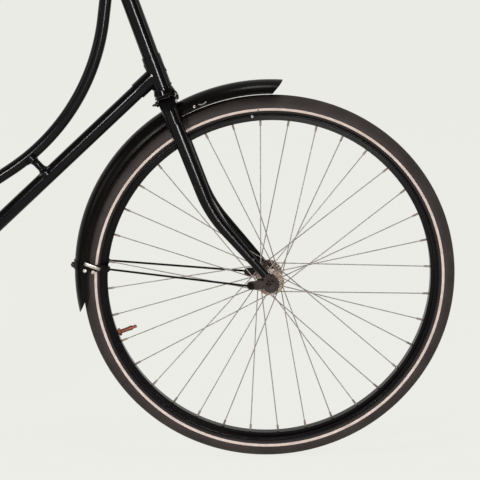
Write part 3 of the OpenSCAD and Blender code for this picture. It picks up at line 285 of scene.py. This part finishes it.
def hubPlate(name, hub, cfg):  # worn plate, brown between the spoke holes, dark grease at the axle
    s = Shader(name)
    radius, _ = s.radius(hub)
    worn = s.ramp(s.noise(55, 5, 0.6), (0.36, 0.0), (0.62, 1.0))
    grime = s.ramp(s.noise(150, 4, 0.6), (0.48, 0.0), (0.62, 1.0))
    tone = s.mix(worn, srgb(*cfg["plate"]), srgb(*cfg["worn"]))
    tone = s.mix(s.math("MULTIPLY", grime, 0.8), tone, srgb(*cfg["grime"]))
    inner = s.ramp(s.math("DIVIDE", radius, cfg["flange"]), (0.22, 1.0), (0.36, 0.0))
    s.put(color=s.mix(s.math("MULTIPLY", inner, 0.55), tone, srgb(*cfg["grease"])))
    s.put(metal=s.math("MULTIPLY_ADD", grime, -0.6, cfg["metal"]))
    s.put(rough=s.math("MULTIPLY_ADD", grime, 0.3, cfg["rough"]))
    s.bump(grime, 0.3, 0.0003)
    return s.mat


tyreLook = {"dark": (32, 25, 24), "pale": (47, 38, 36), "ringTone": (76, 64, 61), "lowWall": (20, 16, 16),
            "stripe": (216, 198, 191), "stripeDirt": (178, 158, 150), "markTone": (70, 50, 44),
            "outer": 0.36, "ringPitch": 0.0027, "stripeRadius": 0.3318, "stripeHalf": 0.0024, "sideFrom": 0.012,
            "mark": (0.3316, 94.0, -0.019), "markSize": 0.0022, "rough": 0.62, "gloss": 0.3}


def tyreRubber(name, hub, cfg):  # brown-black rubber, fine rings on the side walls and a pale stripe
    s = Shader(name)
    radius, parts = s.radius(hub)
    reach = s.math("DIVIDE", radius, cfg["outer"])
    blotch = s.ramp(s.noise(16, 5), (0.3, 0.0), (0.8, 1.0))
    rubber = s.mix(blotch, srgb(*cfg["dark"]), srgb(*cfg["pale"]))
    wave = s.math("SINE", s.math("MULTIPLY", radius, math.tau / cfg["ringPitch"]))
    ring = s.math("MULTIPLY_ADD", wave, 0.5, 0.5)
    patch = s.ramp(s.noise(24, 3), (0.40, 0.15), (0.70, 1.0))
    wall = s.ramp(reach, (0.925, 0.0), (0.935, 1.0), (0.985, 0.7))
    rubber = s.mix(s.product(ring, patch, wall, 0.55), rubber, srgb(*cfg["ringTone"]))
    low = s.ramp(reach, (0.905, 1.0), (0.914, 0.0))  # dark wall below the stripe
    rubber = s.mix(s.math("MULTIPLY", low, 0.75), rubber, srgb(*cfg["lowWall"]))
    band = s.math("COMPARE", radius, cfg["stripeRadius"], cfg["stripeHalf"])
    side = s.math("GREATER_THAN", s.math("ABSOLUTE", parts.outputs["Y"]), cfg["sideFrom"])
    scuff = s.ramp(s.noise(210, 5, 0.7), (0.30, 0.0), (0.36, 1.0))
    scuff = s.math("MAXIMUM", scuff, s.ramp(s.noise(9, 2), (0.46, 0.0), (0.50, 1.0)))
    band = s.product(band, side, scuff)
    mark = s.spot(roundPoint(hub, *cfg["mark"]), cfg["markSize"])
    dirt = s.ramp(s.noise(45, 6, 0.65), (0.30, srgb(*cfg["stripe"])), (0.78, srgb(*cfg["stripeDirt"])))
    stripe = s.mix(s.math("MULTIPLY", mark, 0.85), dirt, srgb(*cfg["markTone"]))
    s.put(color=s.mix(band, rubber, stripe), rough=cfg["rough"], spec=cfg["gloss"])
    height = s.math("ADD", s.math("MULTIPLY", s.noise(700, 3), 0.4), s.product(ring, wall))
    s.bump(height, 0.2, 0.0003)
    return s.mat


def plainRubber(name, tone, lighter=16):
    s = Shader(name)
    blotch = s.ramp(s.noise(35, 5), (0.3, 0.0), (0.8, 1.0))
    s.put(color=s.mix(blotch, srgb(*tone), srgb(*[v + lighter for v in tone])), rough=0.55, spec=0.3)
    s.bump(s.noise(500, 3), 0.15, 0.0004)
    return s.mat


leatherLook = {"dark": (40, 25, 17), "pale": (78, 48, 31), "worn": (112, 76, 50), "grain": 520, "rough": 0.38,
               "gloss": 0.45}


def oldLeather(name, cfg):  # grained hide, paler and duller where it is rubbed
    s = Shader(name)
    tone = s.ramp(s.noise(16, 6, 0.6), (0.25, srgb(*cfg["dark"])), (0.7, srgb(*cfg["pale"])))
    crease = s.ramp(s.cells(cfg["grain"], "DISTANCE_TO_EDGE"), (0.0, 0.0), (0.14, 1.0))
    worn = s.ramp(s.noise(22, 3), (0.5, 0.0), (0.7, 1.0))
    s.put(color=s.mix(s.math("MULTIPLY", worn, 0.3), tone, srgb(*cfg["worn"])), spec=cfg["gloss"])
    s.put(rough=s.math("MULTIPLY_ADD", worn, 0.15, cfg["rough"]))
    s.bump(crease, 0.3, 0.0004)
    return s.mat


lensLook = {"bright": (176, 20, 16), "deep": (96, 6, 8), "prisms": 300, "rough": 0.15, "coat": 0.8}


def redLens(name, cfg):  # moulded glass with a regular field of prisms, each paler in its middle and deeper at its edge, which is painted light
    s = Shader(name)
    prism = s.cells(cfg["prisms"], "F1", 0.0)
    # paler prism middles and deeper prism edges: painted light, not the glass's own colour
    s.put(color=s.ramp(prism, (0.0, srgb(*cfg["bright"])), (0.6, srgb(*cfg["deep"]))))
    s.put(rough=cfg["rough"], coat=cfg["coat"])
    s.bump(prism, 0.6, 0.001)
    return s.mat


finish = {
    "frame_paint": enamel("blackEnamel", frameEnamel, frameChipsAndHighlights),
    "guard_paint": enamel("guardEnamel", guardEnamel),
    "end_steel": plated("rustyEnds", endPlate),
    "chrome": plated("oldChrome", chromePlate),
    "stand_steel": plated("dullZinc", zincPlate),
    "hub_steel": hubPlate("frontHubPlate", frontHub, hubLook),
    "spoke_steel": spokeWire("frontSpokeWire", frontHub, wireLook),
    "rim_paint": enamel("rimEnamel", rimEnamel, rimHighlightSpot),
    "tyre": tyreRubber("frontTyreRubber", frontHub, tyreLook),
    "valve_brass": plated("valveBrass", brassPlate),
    "grip_rubber": plainRubber("gripRubber", (18, 17, 17)),
    "pedal_rubber": plainRubber("pedalRubber", (24, 22, 22)),
    "saddle_leather": oldLeather("saddleLeather", leatherLook),
    "red_lens": redLens("redLens", lensLook),
}
rearFinish = {
    "tyre": tyreRubber("rearTyreRubber", rearHub, tyreLook),
    "spoke_steel": spokeWire("rearSpokeWire", rearHub, wireLook),
    "hub_steel": hubPlate("rearHubPlate", rearHub, hubLook),
}
bareSteel = plated("wornBareSteel", wornSteel)
darkBolt = plated("blackedBolt", boltBlack)
slotOf = {row["node"]: row["material_slot"] for row in frame["record"]["subparts"]}
bodyOf = {n: b for b, names in frame["record"]["behaviour"]["bodies"].items() for n in names}


def finishOf(node):  # the slot's finish, and on the rear wheel the one centred on the rear axle
    slot = slotOf[node]
    return rearFinish.get(slot, finish[slot]) if node.startswith("rear") else finish[slot]


for name, obj in nodes.items():
    obj.data.materials.clear()
    obj.data.materials.append(finishOf(name))
print("materials made")


def newPiece(name, bm, body, material, smooth=True, replaces=()):  # smooth, or as markSharp left it
    mesh = bpy.data.meshes.new(name)
    bm.to_mesh(mesh)
    bm.free()
    mesh.materials.append(material)
    if smooth:
        mesh.shade_smooth()
    obj = bpy.data.objects.new(name, mesh)
    scene.collection.objects.link(obj)
    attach(obj, body)
    if replaces:
        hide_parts(*replaces)


def markSharp(bm, degrees=28):  # smooth faces, split at the edges that turn by more than this
    for face in bm.faces:
        face.smooth = True
    for edge in bm.edges:
        if len(edge.link_faces) == 2 and edge.calc_face_angle(0) > math.radians(degrees):
            edge.smooth = False


def mergedNode(node):  # a copy of a CAD node with its loose triangles joined
    bm = bmesh.new()
    bm.from_mesh(nodes[node].data)
    bmesh.ops.remove_doubles(bm, verts=bm.verts, dist=0.000002)
    return bm


def finishNode(node, bm):
    newPiece(node + "_finish", bm, bodyOf[node], finishOf(node), False, (node,))


def setAlong(at, axis, ahead=(1, 0, 0)):  # a frame whose Z runs along axis
    z = Vector(axis).normalized()
    x = Vector(ahead)
    if abs(z.dot(x.normalized())) > 0.95:
        x = Vector((0, 1, 0)) if abs(z.y) < 0.9 else Vector((0, 0, 1))
    x = (x - z * x.dot(z)).normalized()
    frameOf = Matrix((x, z.cross(x), z)).transposed().to_4x4()
    frameOf.translation = Vector(at)
    return frameOf


def turned(points, at, axis, steps=48, close=False):  # points are (radius, along the axis)
    bm = bmesh.new()
    verts = [bm.verts.new((r, 0, h)) for r, h in points]
    edges = [bm.edges.new(pair) for pair in zip(verts, verts[1:])]
    if close:
        edges.append(bm.edges.new((verts[-1], verts[0])))
    bmesh.ops.spin(bm, geom=verts + edges, cent=(0, 0, 0), axis=(0, 0, 1), angle=math.tau, steps=steps,
                   use_merge=True)
    bmesh.ops.remove_doubles(bm, verts=bm.verts, dist=0.0000005)
    bmesh.ops.recalc_face_normals(bm, faces=bm.faces)
    bm.transform(setAlong(at, axis))
    return bm


def swept(points, halves, sides, ahead=(0, 1, 0)):  # a closed bar through points, with its half width and height
    frames = []
    for i, point in enumerate(points):
        before, after = points[max(i - 1, 0)], points[min(i + 1, len(points) - 1)]
        frames.append(setAlong(point, after - before, ahead) @ Matrix.Diagonal((*halves, 1, 1)))
    bm = bmesh.new()
    bmesh.ops.create_circle(bm, cap_ends=True, segments=sides, radius=1)
    bm.transform(frames[0])
    end = list(bm.faces)
    for a, b in zip(frames, frames[1:]):
        made = bmesh.ops.extrude_face_region(bm, geom=end)["geom"]
        end = [g for g in made if isinstance(g, bmesh.types.BMFace)]
        moved = [g for g in made if isinstance(g, bmesh.types.BMVert)]
        bmesh.ops.transform(bm, matrix=b @ a.inverted(), verts=moved)
    bmesh.ops.recalc_face_normals(bm, faces=bm.faces)
    return bm


def hexagon(at, axis, across, thick, bevel=0.0005):  # a nut or bolt head with eased edges
    bm = bmesh.new()
    corner = across / 2 / math.cos(math.pi / 6)
    bmesh.ops.create_cone(bm, cap_ends=True, segments=6, radius1=corner, radius2=corner, depth=thick)
    bmesh.ops.translate(bm, vec=(0, 0, thick / 2), verts=bm.verts)
    bmesh.ops.bevel(bm, geom=list(bm.edges), offset=bevel, offset_type="OFFSET", segments=2, profile=0.5,
                    affect="EDGES", material=-1)
    bm.transform(setAlong(at, axis))
    return bm


def dome(at, axis, radius, height):  # a rivet or round bolt head
    arc = [(radius * math.cos(a), height * math.sin(a)) for a in [math.pi / 2 * i / 6 for i in range(6)]]
    return turned([(radius, -height * 0.4)] + arc + [(0, height)], at, axis, 24)


def together(*parts):  # several meshes as one
    bm = bmesh.new()
    for part in parts:
        mesh = bpy.data.meshes.new("part")
        part.to_mesh(mesh)
        part.free()
        bm.from_mesh(mesh)
        bpy.data.meshes.remove(mesh)
    return bm


# Tyres: a round casing with ribs round the tread and a raised ring beside the stripe
tyre = {"middle": 0.336, "radius": 0.0197, "wall": 0.0035, "ribs": 15, "ribDepth": 0.0006, "steps": 180,
        "treadHalf": 1.15, "outerHalf": 2.30, "innerHalf": 2.1,  # angles round the casing, in radians
        "beadRadius": 0.3179, "beadHalf": 0.0105, "ring": 1.72, "ringWide": 0.09, "ringHigh": 0.0004}


def tyreProfile(cfg):
    points = []
    for i in range(121):
        a = cfg["outerHalf"] * (i / 60 - 1)  # angle round the casing from the middle of the tread
        r = cfg["radius"]
        if abs(a) < cfg["treadHalf"]:
            r += cfg["ribDepth"] * 0.5 * math.cos(a * cfg["ribs"] * math.pi / cfg["treadHalf"])
        r += cfg["ringHigh"] * max(0, 1 - abs(abs(a) - cfg["ring"]) / cfg["ringWide"])
        points.append((cfg["middle"] + r * math.cos(a), r * math.sin(a)))
    points.append((cfg["beadRadius"], cfg["beadHalf"]))
    inner = cfg["radius"] - cfg["wall"]
    for i in range(12, -13, -1):
        a = cfg["innerHalf"] * i / 12
        points.append((cfg["middle"] + inner * math.cos(a), inner * math.sin(a)))
    points.append((cfg["beadRadius"], -cfg["beadHalf"]))
    return points


for which, hub in (("front", frontHub), ("rear", rearHub)):
    node = which + "_tyre"
    bm = turned(tyreProfile(tyre), hub, (0, 1, 0), tyre["steps"], True)
    newPiece(node + "_ribbed", bm, which + "_wheel", finishOf(node), True, (node,))
print("tyres made")

# Upper tube: straight below its lug, then one long bend that opens away from the down tube, and the short strut
loopTube = {"top": 0.6958, "lean": 6.9, "straight": 0.130, "bend": 0.402, "endAngle": 33.0, "radius": 0.0117,
            "sides": 40, "steps": 40}
collarTube = {"profile": [(0.0118, 0), (0.0135, 0.0006), (0.0139, 0.002), (0.0139, 0.030), (0.0118, 0.030)],
              "length": 0.030}
seatLug = [(0.0144, -0.028), (0.0165, -0.0268), (0.0165, 0.0268), (0.0144, 0.028)]  # radius and place along it
strutBar = {"foot": (0.157, 0.5795), "radius": 0.0072, "flare": 0.009, "sunk": 0.004, "downTube": 0.0122,
            "closer": 0.0022}
bracket = Vector((-0.1051, 0, 0.298))
seatAngle, downAngle = math.radians(66), math.radians(43.31)
seatWay = Vector((-math.cos(seatAngle), 0, math.sin(seatAngle)))
downWay = Vector((math.cos(downAngle), 0, math.sin(downAngle)))
downOut = Vector((-downWay.z, 0, downWay.x))


def loopPath(cfg):
    lean, end = math.radians(90 - cfg["lean"]), math.radians(cfg["endAngle"])
    way = Vector((math.cos(lean), 0, math.sin(lean)))
    top = steerPoint(cfg["top"])
    at = top - way * cfg["straight"]
    points = [top, top - way * cfg["straight"] * 0.5]
    centre = at - Vector((way.z, 0, -way.x)) * cfg["bend"]
    for i in range(cfg["steps"] + 1):
        a = lean + (end - lean) * i / cfg["steps"]
        points.append(centre + Vector((math.sin(a), 0, -math.cos(a))) * cfg["bend"])
    last = Vector((math.cos(end), 0, math.sin(end)))
    gap = points[-1] - bracket  # from there straight on, as far as the seat tube
    t = (gap.x * seatWay.z - gap.z * seatWay.x) / (last.x * seatWay.z - last.z * seatWay.x)
    low = points[-1]
    return points + [low - last * t * 0.5, low - last * t]


def strutMesh(cfg, path):  # a slim bar that widens at both ends
    foot = Vector((cfg["foot"][0], 0, cfg["foot"][1]))
    low = foot - downOut * (foot - bracket).dot(downOut)
    high = min(path, key=lambda p: abs((p - low).dot(downWay)))
    reach = (high - low).dot(downOut)
    wide, lower = cfg["radius"] + cfg["flare"], []
    for i in range(7):
        a = math.pi / 2 * i / 6
        lower.append((cfg["radius"] + cfg["flare"] * (1 - math.sin(a)),
                      cfg["downTube"] + cfg["flare"] * (1 - math.cos(a))))
    upper = [(r, reach - h + cfg["closer"]) for r, h in reversed(lower)]
    ends = [(0, cfg["sunk"]), (wide, cfg["sunk"])], [(wide, reach), (0, reach)]
    return turned(ends[0] + lower + upper + ends[1], low, downOut, 32)


path = loopPath(loopTube)
seatJoin = path[-1]
upward = (path[-2] - seatJoin).normalized()
tube = swept(path, (loopTube["radius"], loopTube["radius"]), loopTube["sides"])
strut = strutMesh(strutBar, path)
collar = turned(collarTube["profile"], seatJoin + upward * collarTube["length"], -upward, 40)
lug = turned(seatLug, seatJoin, seatWay, 48)
loop = together(tube, strut, collar, lug)
markSharp(loop, 35)
newPiece("loop_tube", loop, "frame", finish["frame_paint"], False, ("upper_tube", "tube_bridge"))
print("upper tube and strut made")

# Front mudguard: rivets and worn strap on its crown, and a bolt through its rear end
guardTrim = {"radius": 0.3695, "section": 0.02917, "rivets": [(113.6, -0.0262), (123.2, -0.0262), (113.6, 0.0262)],
             "rivetRadius": 0.0032, "rivetHigh": 0.0018}
strap = {"from": 112.2, "to": 109.6, "side": 0.0258, "bow": 0.0012, "lift": 0.0004, "halves": (0.0012, 0.0005)}


def guardSurface(degrees, side, lift=0.0):  # a place on the outside of the guard's round section, and its normal
    share = math.asin(max(-1, min(1, side / guardTrim["section"])))
    out = roundPoint(Vector((0, 0, 0)), 1, degrees)
    normal = out * math.cos(share) + Vector((0, math.sin(share), 0))
    centre = guardHub + out * (guardTrim["radius"] - guardTrim["section"])
    return centre + normal * (guardTrim["section"] + lift), normal


rivets = [dome(*guardSurface(a, y), guardTrim["rivetRadius"], guardTrim["rivetHigh"]) for a, y in guardTrim["rivets"]]
newPiece("guard_rivets", together(*rivets), "steering", bareSteel)

straps = []
for side in (-1, 1):
    points = []
    for i in range(9):
        share = i / 8
        out = side * (strap["side"] + strap["bow"] * math.sin(share * 3))
        points.append(guardSurface(strap["from"] + (strap["to"] - strap["from"]) * share, out, strap["lift"])[0])
    straps.append(swept(points, strap["halves"], 8, (0, 0, 1)))
newPiece("guard_strap", together(*straps), "steering", bareSteel)

rearBolt = {"at": 177.8, "washer": [(0.0075, 0), (0.0075, 0.0022), (0.0066, 0.003), (0, 0.003)],
            "nutFrom": 0.0028, "nut": 0.0095, "nutThick": 0.0038, "endFrom": 0.0066, "endRadius": 0.0028,
            "endHigh": 0.0016}
at, out = guardSurface(rearBolt["at"], 0.0, -0.0005)
knob = together(turned(rearBolt["washer"], at, out, 32),
                hexagon(at + out * rearBolt["nutFrom"], out, rearBolt["nut"], rearBolt["nutThick"]),
                dome(at + out * rearBolt["endFrom"], out, rearBolt["endRadius"], rearBolt["endHigh"]))
markSharp(knob)
newPiece("guard_bolt", knob, "steering", darkBolt, False)

# The stay's bracket: a bent worn strip on the tab, with two small bolts; radius, angle and distance to the side
stayBracket = {"strip": [(0.3520, 175.9, 0.0345), (0.3445, 176.2, 0.0372), (0.3340, 176.8, 0.0380),
                         (0.3215, 177.5, 0.0374)],
               "halves": (0.0007, 0.0034), "bolts": [(0.3348, 178.5, 0.0362), (0.3505, 178.4, 0.0290)],
               "across": 0.0070, "headHigh": 0.0026, "endRadius": 0.0020, "endHigh": 0.0012}
strips, bolts = [], []
for side in (-1, 1):
    points = [roundPoint(guardHub, r, a, side * o) for r, a, o in stayBracket["strip"]]
    strips.append(swept(points, stayBracket["halves"], 12, (0, 1, 0)))
    out = Vector((0, side, 0))
    for r, a, o in stayBracket["bolts"]:
        at = roundPoint(guardHub, r, a, side * o)
        bolts.append(hexagon(at, out, stayBracket["across"], stayBracket["headHigh"]))
        end = at + out * stayBracket["headHigh"]
        bolts.append(dome(end, out, stayBracket["endRadius"], stayBracket["endHigh"]))
newPiece("stay_bracket", together(*strips), "steering", bareSteel)
newPiece("stay_bracket_bolts", together(*bolts), "steering", bareSteel)
print("guard trim made")

# Head: scalloped lips of the lugs, two worn rings round the crown, the lamp tab's stump and the pointed bolt
head = {"lips": [(0.4575, 0.012, 0.0183, 0.0008, 180),  # height, wave, radius, thickness, phase
                 (0.4205, 0, 0.0187, 0.0010, 0), (0.7180, 0.006, 0.0183, 0.0008, 0)],
        "rings": [(0.4012, 0, 0.0200, 0.0012, 0), (0.4062, 0, 0.0192, 0.0010, 0)],
        "tab": [(0.4085, 0.0150, -0.004), (0.4065, 0.0192, -0.005), (0.4020, 0.0215, -0.006),
                (0.3940, 0.0225, -0.006)],
        "tabHalves": (0.0016, 0.0080)}
crownBolt = {"up": 0.3913, "rod": [(0, -0.0300), (0.0016, -0.0292), (0.0027, -0.0250), (0.0030, -0.0230),
                                   (0.0030, 0.0225), (0, 0.0225)],  # radius and place ahead of the axis
             "nutFrom": -0.0225, "nut": 0.0105, "nutThick": 0.0050, "headFrom": 0.0195, "headRadius": 0.0050,
             "headHigh": 0.0034}


def ringLip(up, wave, radius, thick, phase):  # a thin rounded ring whose height waves three times round the tube
    arc = [(radius + thick * math.cos(a), thick * math.sin(a)) for a in [math.tau * i / 8 for i in range(8)]]
    bm = turned(arc, (0, 0, 0), (0, 0, 1), 96, True)
    for vert in bm.verts:
        vert.co.z += wave * math.cos(3 * math.atan2(vert.co.y, vert.co.x) + math.radians(phase))
    bm.transform(setAlong(steerPoint(up), headAxis, headAhead))
    return bm


lips = together(*[ringLip(*row) for row in head["lips"]])
newPiece("lug_lips", lips, "frame", finish["frame_paint"])
rings = together(*[ringLip(*row) for row in head["rings"]])
newPiece("crown_rings", rings, "steering", darkBolt)
tab = swept([steerPoint(*row) for row in head["tab"]], head["tabHalves"], 12, headAhead)
newPiece("crown_tab", tab, "steering", darkBolt)

up = crownBolt["up"]
rod = turned(crownBolt["rod"], steerPoint(up), headAhead, 24)
nut = hexagon(steerPoint(up, crownBolt["nutFrom"]), headAhead, crownBolt["nut"], crownBolt["nutThick"])
boltHead = dome(steerPoint(up, crownBolt["headFrom"]), headAhead, crownBolt["headRadius"], crownBolt["headHigh"])
pin = together(rod, nut, boltHead)
markSharp(pin, 35)
newPiece("crown_bolt_pointed", pin, "steering", darkBolt, False, ("crown_bolt",))
print("head trim made")

# Grips: ribbed rubber sleeves with a flange at the inner end and a round outer end
grip = {"radius": 0.0153, "bore": 0.0112, "length": 0.118, "ribs": 24, "rib": 0.00056, "flange": 0.0002,
        "groove": 0.0012, "ribsFrom": 0.008, "ribsTo": 0.012, "barEnd": (0.08665, 0.285, 1.1422),
        "barWay": (-0.290, 0.090, -0.030)}


def gripProfile(cfg):
    start, radius, waist = -cfg["length"], cfg["radius"], cfg["radius"] - cfg["groove"]
    points = [(cfg["bore"], start), (radius - 0.0003, start), (radius + cfg["flange"], start + 0.002),
              (waist, start + 0.004)]
    first, last = start + cfg["ribsFrom"], -cfg["ribsTo"]
    for i in range(cfg["ribs"] * 4 + 1):
        share = i / (cfg["ribs"] * 4)
        rib = cfg["rib"] * math.cos(share * cfg["ribs"] * math.tau)
        points.append((waist + rib, first + (last - first) * share))
    for i in range(6):
        a = math.pi / 2 * i / 6
        points.append(((radius - 0.0005) * math.cos(a), -0.006 + 0.009 * math.sin(a)))
    return points + [(0, 0.003)]


for name, side in (("right", -1), ("left", 1)):
    node = "grip_" + name
    across = Vector((1, side, 1))
    bm = turned(gripProfile(grip), Vector(grip["barEnd"]) * across, Vector(grip["barWay"]) * across, 40)
    newPiece(node + "_ribbed", bm, "steering", finish["grip_rubber"], True, (node,))
print("grips made")

# The other nodes keep their solids' shapes, with smooth faces and sharp edges
made = ("front_tyre", "rear_tyre", "grip_right", "grip_left", "upper_tube", "tube_bridge", "crown_bolt", "seat_tube")
for node in nodes:
    if node not in made:
        bm = mergedNode(node)
        markSharp(bm)
        finishNode(node, bm)

# Seat tube: its sleeve for the upper tube moves up to where the upper tube joins it
seatSleeve = {"from": 0.028, "to": 0.084, "outside": 0.0146, "up": 0.067}
bm = mergedNode("seat_tube")
markSharp(bm)
for vert in bm.verts:
    along = (vert.co - bracket).dot(seatWay)
    away = (vert.co - bracket - seatWay * along).length
    if seatSleeve["from"] < along < seatSleeve["to"] and away > seatSleeve["outside"]:
        vert.co += seatWay * seatSleeve["up"]
finishNode("seat_tube", bm)
print("node finishes made")

# Stage: floor colour, share of the floor's own glow, its strength, and the world's strength to diffuse rays and
# to reflections of what lies in front
stage = {"floor": (234, 235, 229), "seen": 0.94, "level": 1.04, "fill": 0.36, "front": 0.10,
         "blend": 0.15, "size": 30}


def brightFor(tree, *kinds):  # the largest of the light path's outputs
    path = tree.nodes.new("ShaderNodeLightPath")
    last = path.outputs[kinds[0]]
    for kind in kinds[1:]:
        most = tree.nodes.new("ShaderNodeMath")
        most.operation = "MAXIMUM"
        tree.links.new(last, most.inputs[0])
        tree.links.new(path.outputs[kind], most.inputs[1])
        last = most.outputs[0]
    return last


def stageMaterial(cfg):  # the camera sees a plain pale ground that keeps part of the shadow
    mat = bpy.data.materials.new("paleFloor")
    mat.use_nodes = True
    tree = mat.node_tree
    bsdf = tree.nodes["Principled BSDF"]
    bsdf.inputs["Base Color"].default_value = srgb(*cfg["floor"])
    bsdf.inputs["Roughness"].default_value = 1.0
    bsdf.inputs["Specular IOR Level"].default_value = 0.0
    glow = tree.nodes.new("ShaderNodeEmission")
    glow.inputs["Color"].default_value = srgb(*cfg["floor"])
    glow.inputs["Strength"].default_value = cfg["level"]
    seen = tree.nodes.new("ShaderNodeMath")
    seen.operation = "MULTIPLY"
    seen.inputs[1].default_value = cfg["seen"]
    tree.links.new(brightFor(tree, "Is Camera Ray", "Is Glossy Ray", "Is Transmission Ray"), seen.inputs[0])
    blend = tree.nodes.new("ShaderNodeMixShader")
    tree.links.new(seen.outputs[0], blend.inputs[0])
    tree.links.new(bsdf.outputs[0], blend.inputs[1])
    tree.links.new(glow.outputs[0], blend.inputs[2])
    tree.links.new(blend.outputs[0], tree.nodes["Material Output"].inputs["Surface"])
    return mat


def makeWorld(cfg):  # full strength to the camera and, behind the bicycle, to reflections; a soft fill to the rest
    world = bpy.data.worlds.new("studio")
    world.use_nodes = True
    scene.world = world
    tree = world.node_tree
    back = tree.nodes["Background"]
    back.inputs["Color"].default_value = srgb(*cfg["floor"])
    coord = tree.nodes.new("ShaderNodeTexCoord")
    parts = tree.nodes.new("ShaderNodeSeparateXYZ")
    tree.links.new(coord.outputs["Generated"], parts.inputs[0])
    behind = tree.nodes.new("ShaderNodeMapRange")  # a soft change from the front half to the back half
    behind.inputs["From Min"].default_value = -cfg["blend"]
    behind.inputs["From Max"].default_value = cfg["blend"]
    behind.inputs["To Min"].default_value = cfg["front"]
    behind.inputs["To Max"].default_value = 1.0
    tree.links.new(parts.outputs["Y"], behind.inputs["Value"])
    mirror = tree.nodes.new("ShaderNodeMapRange")
    mirror.inputs["To Min"].default_value = cfg["fill"]
    tree.links.new(brightFor(tree, "Is Glossy Ray", "Is Transmission Ray"), mirror.inputs["Value"])
    tree.links.new(behind.outputs[0], mirror.inputs["To Max"])
    seen = tree.nodes.new("ShaderNodeMapRange")
    seen.inputs["To Max"].default_value = 1.0
    tree.links.new(brightFor(tree, "Is Camera Ray"), seen.inputs["Value"])
    tree.links.new(mirror.outputs[0], seen.inputs["To Min"])
    tree.links.new(seen.outputs[0], back.inputs["Strength"])


def makeFloor(cfg):
    bm = bmesh.new()
    bmesh.ops.create_grid(bm, x_segments=1, y_segments=1, size=cfg["size"])
    mesh = bpy.data.meshes.new("floor")
    bm.to_mesh(mesh)
    bm.free()
    mesh.materials.append(stageMaterial(cfg))
    floor = bpy.data.objects.new("floor", mesh)
    scene.collection.objects.link(floor)
    floor.location = (0, 0, -0.0005)  # just under the tyres and feet


lampAim = Vector((0.25, 0, 0.55))  # about the bicycle's middle
lamps = {  # place from there, width, height, power, and spread of the beam in degrees
    "lowPanel": ((0.94, -4.1, -0.22), 0.44, 0.44, 14, 80),  # the two narrow beams leave the floor beside them alone
    "highPanel": ((-1.70, -3.57, 1.45), 0.44, 0.44, 14, 80),
    "topPanel": ((0.22, -0.72, 2.9), 0.55, 0.55, 24, 180),
    "leftPanel": ((-2.9, -0.9, 0.9), 0.8, 1.2, 10, 180),
    "rightPanel": ((3.1, -0.6, 1.1), 0.8, 1.2, 10, 180),
}


def makeLamp(name, offset, width, height, power, spread):
    data = bpy.data.lights.new(name, "AREA")
    data.shape = "RECTANGLE"
    data.size = width
    data.size_y = height
    data.energy = power
    data.spread = math.radians(spread)
    obj = bpy.data.objects.new(name, data)
    scene.collection.objects.link(obj)
    obj.location = lampAim + Vector(offset)
    obj.rotation_mode = "QUATERNION"
    obj.rotation_quaternion = (-Vector(offset)).to_track_quat("-Z", "Y")


makeFloor(stage)
makeWorld(stage)
for name, cfg in lamps.items():
    makeLamp(name, *cfg)
print("stage and lamps made")

scene.view_settings.view_transform = "Standard"
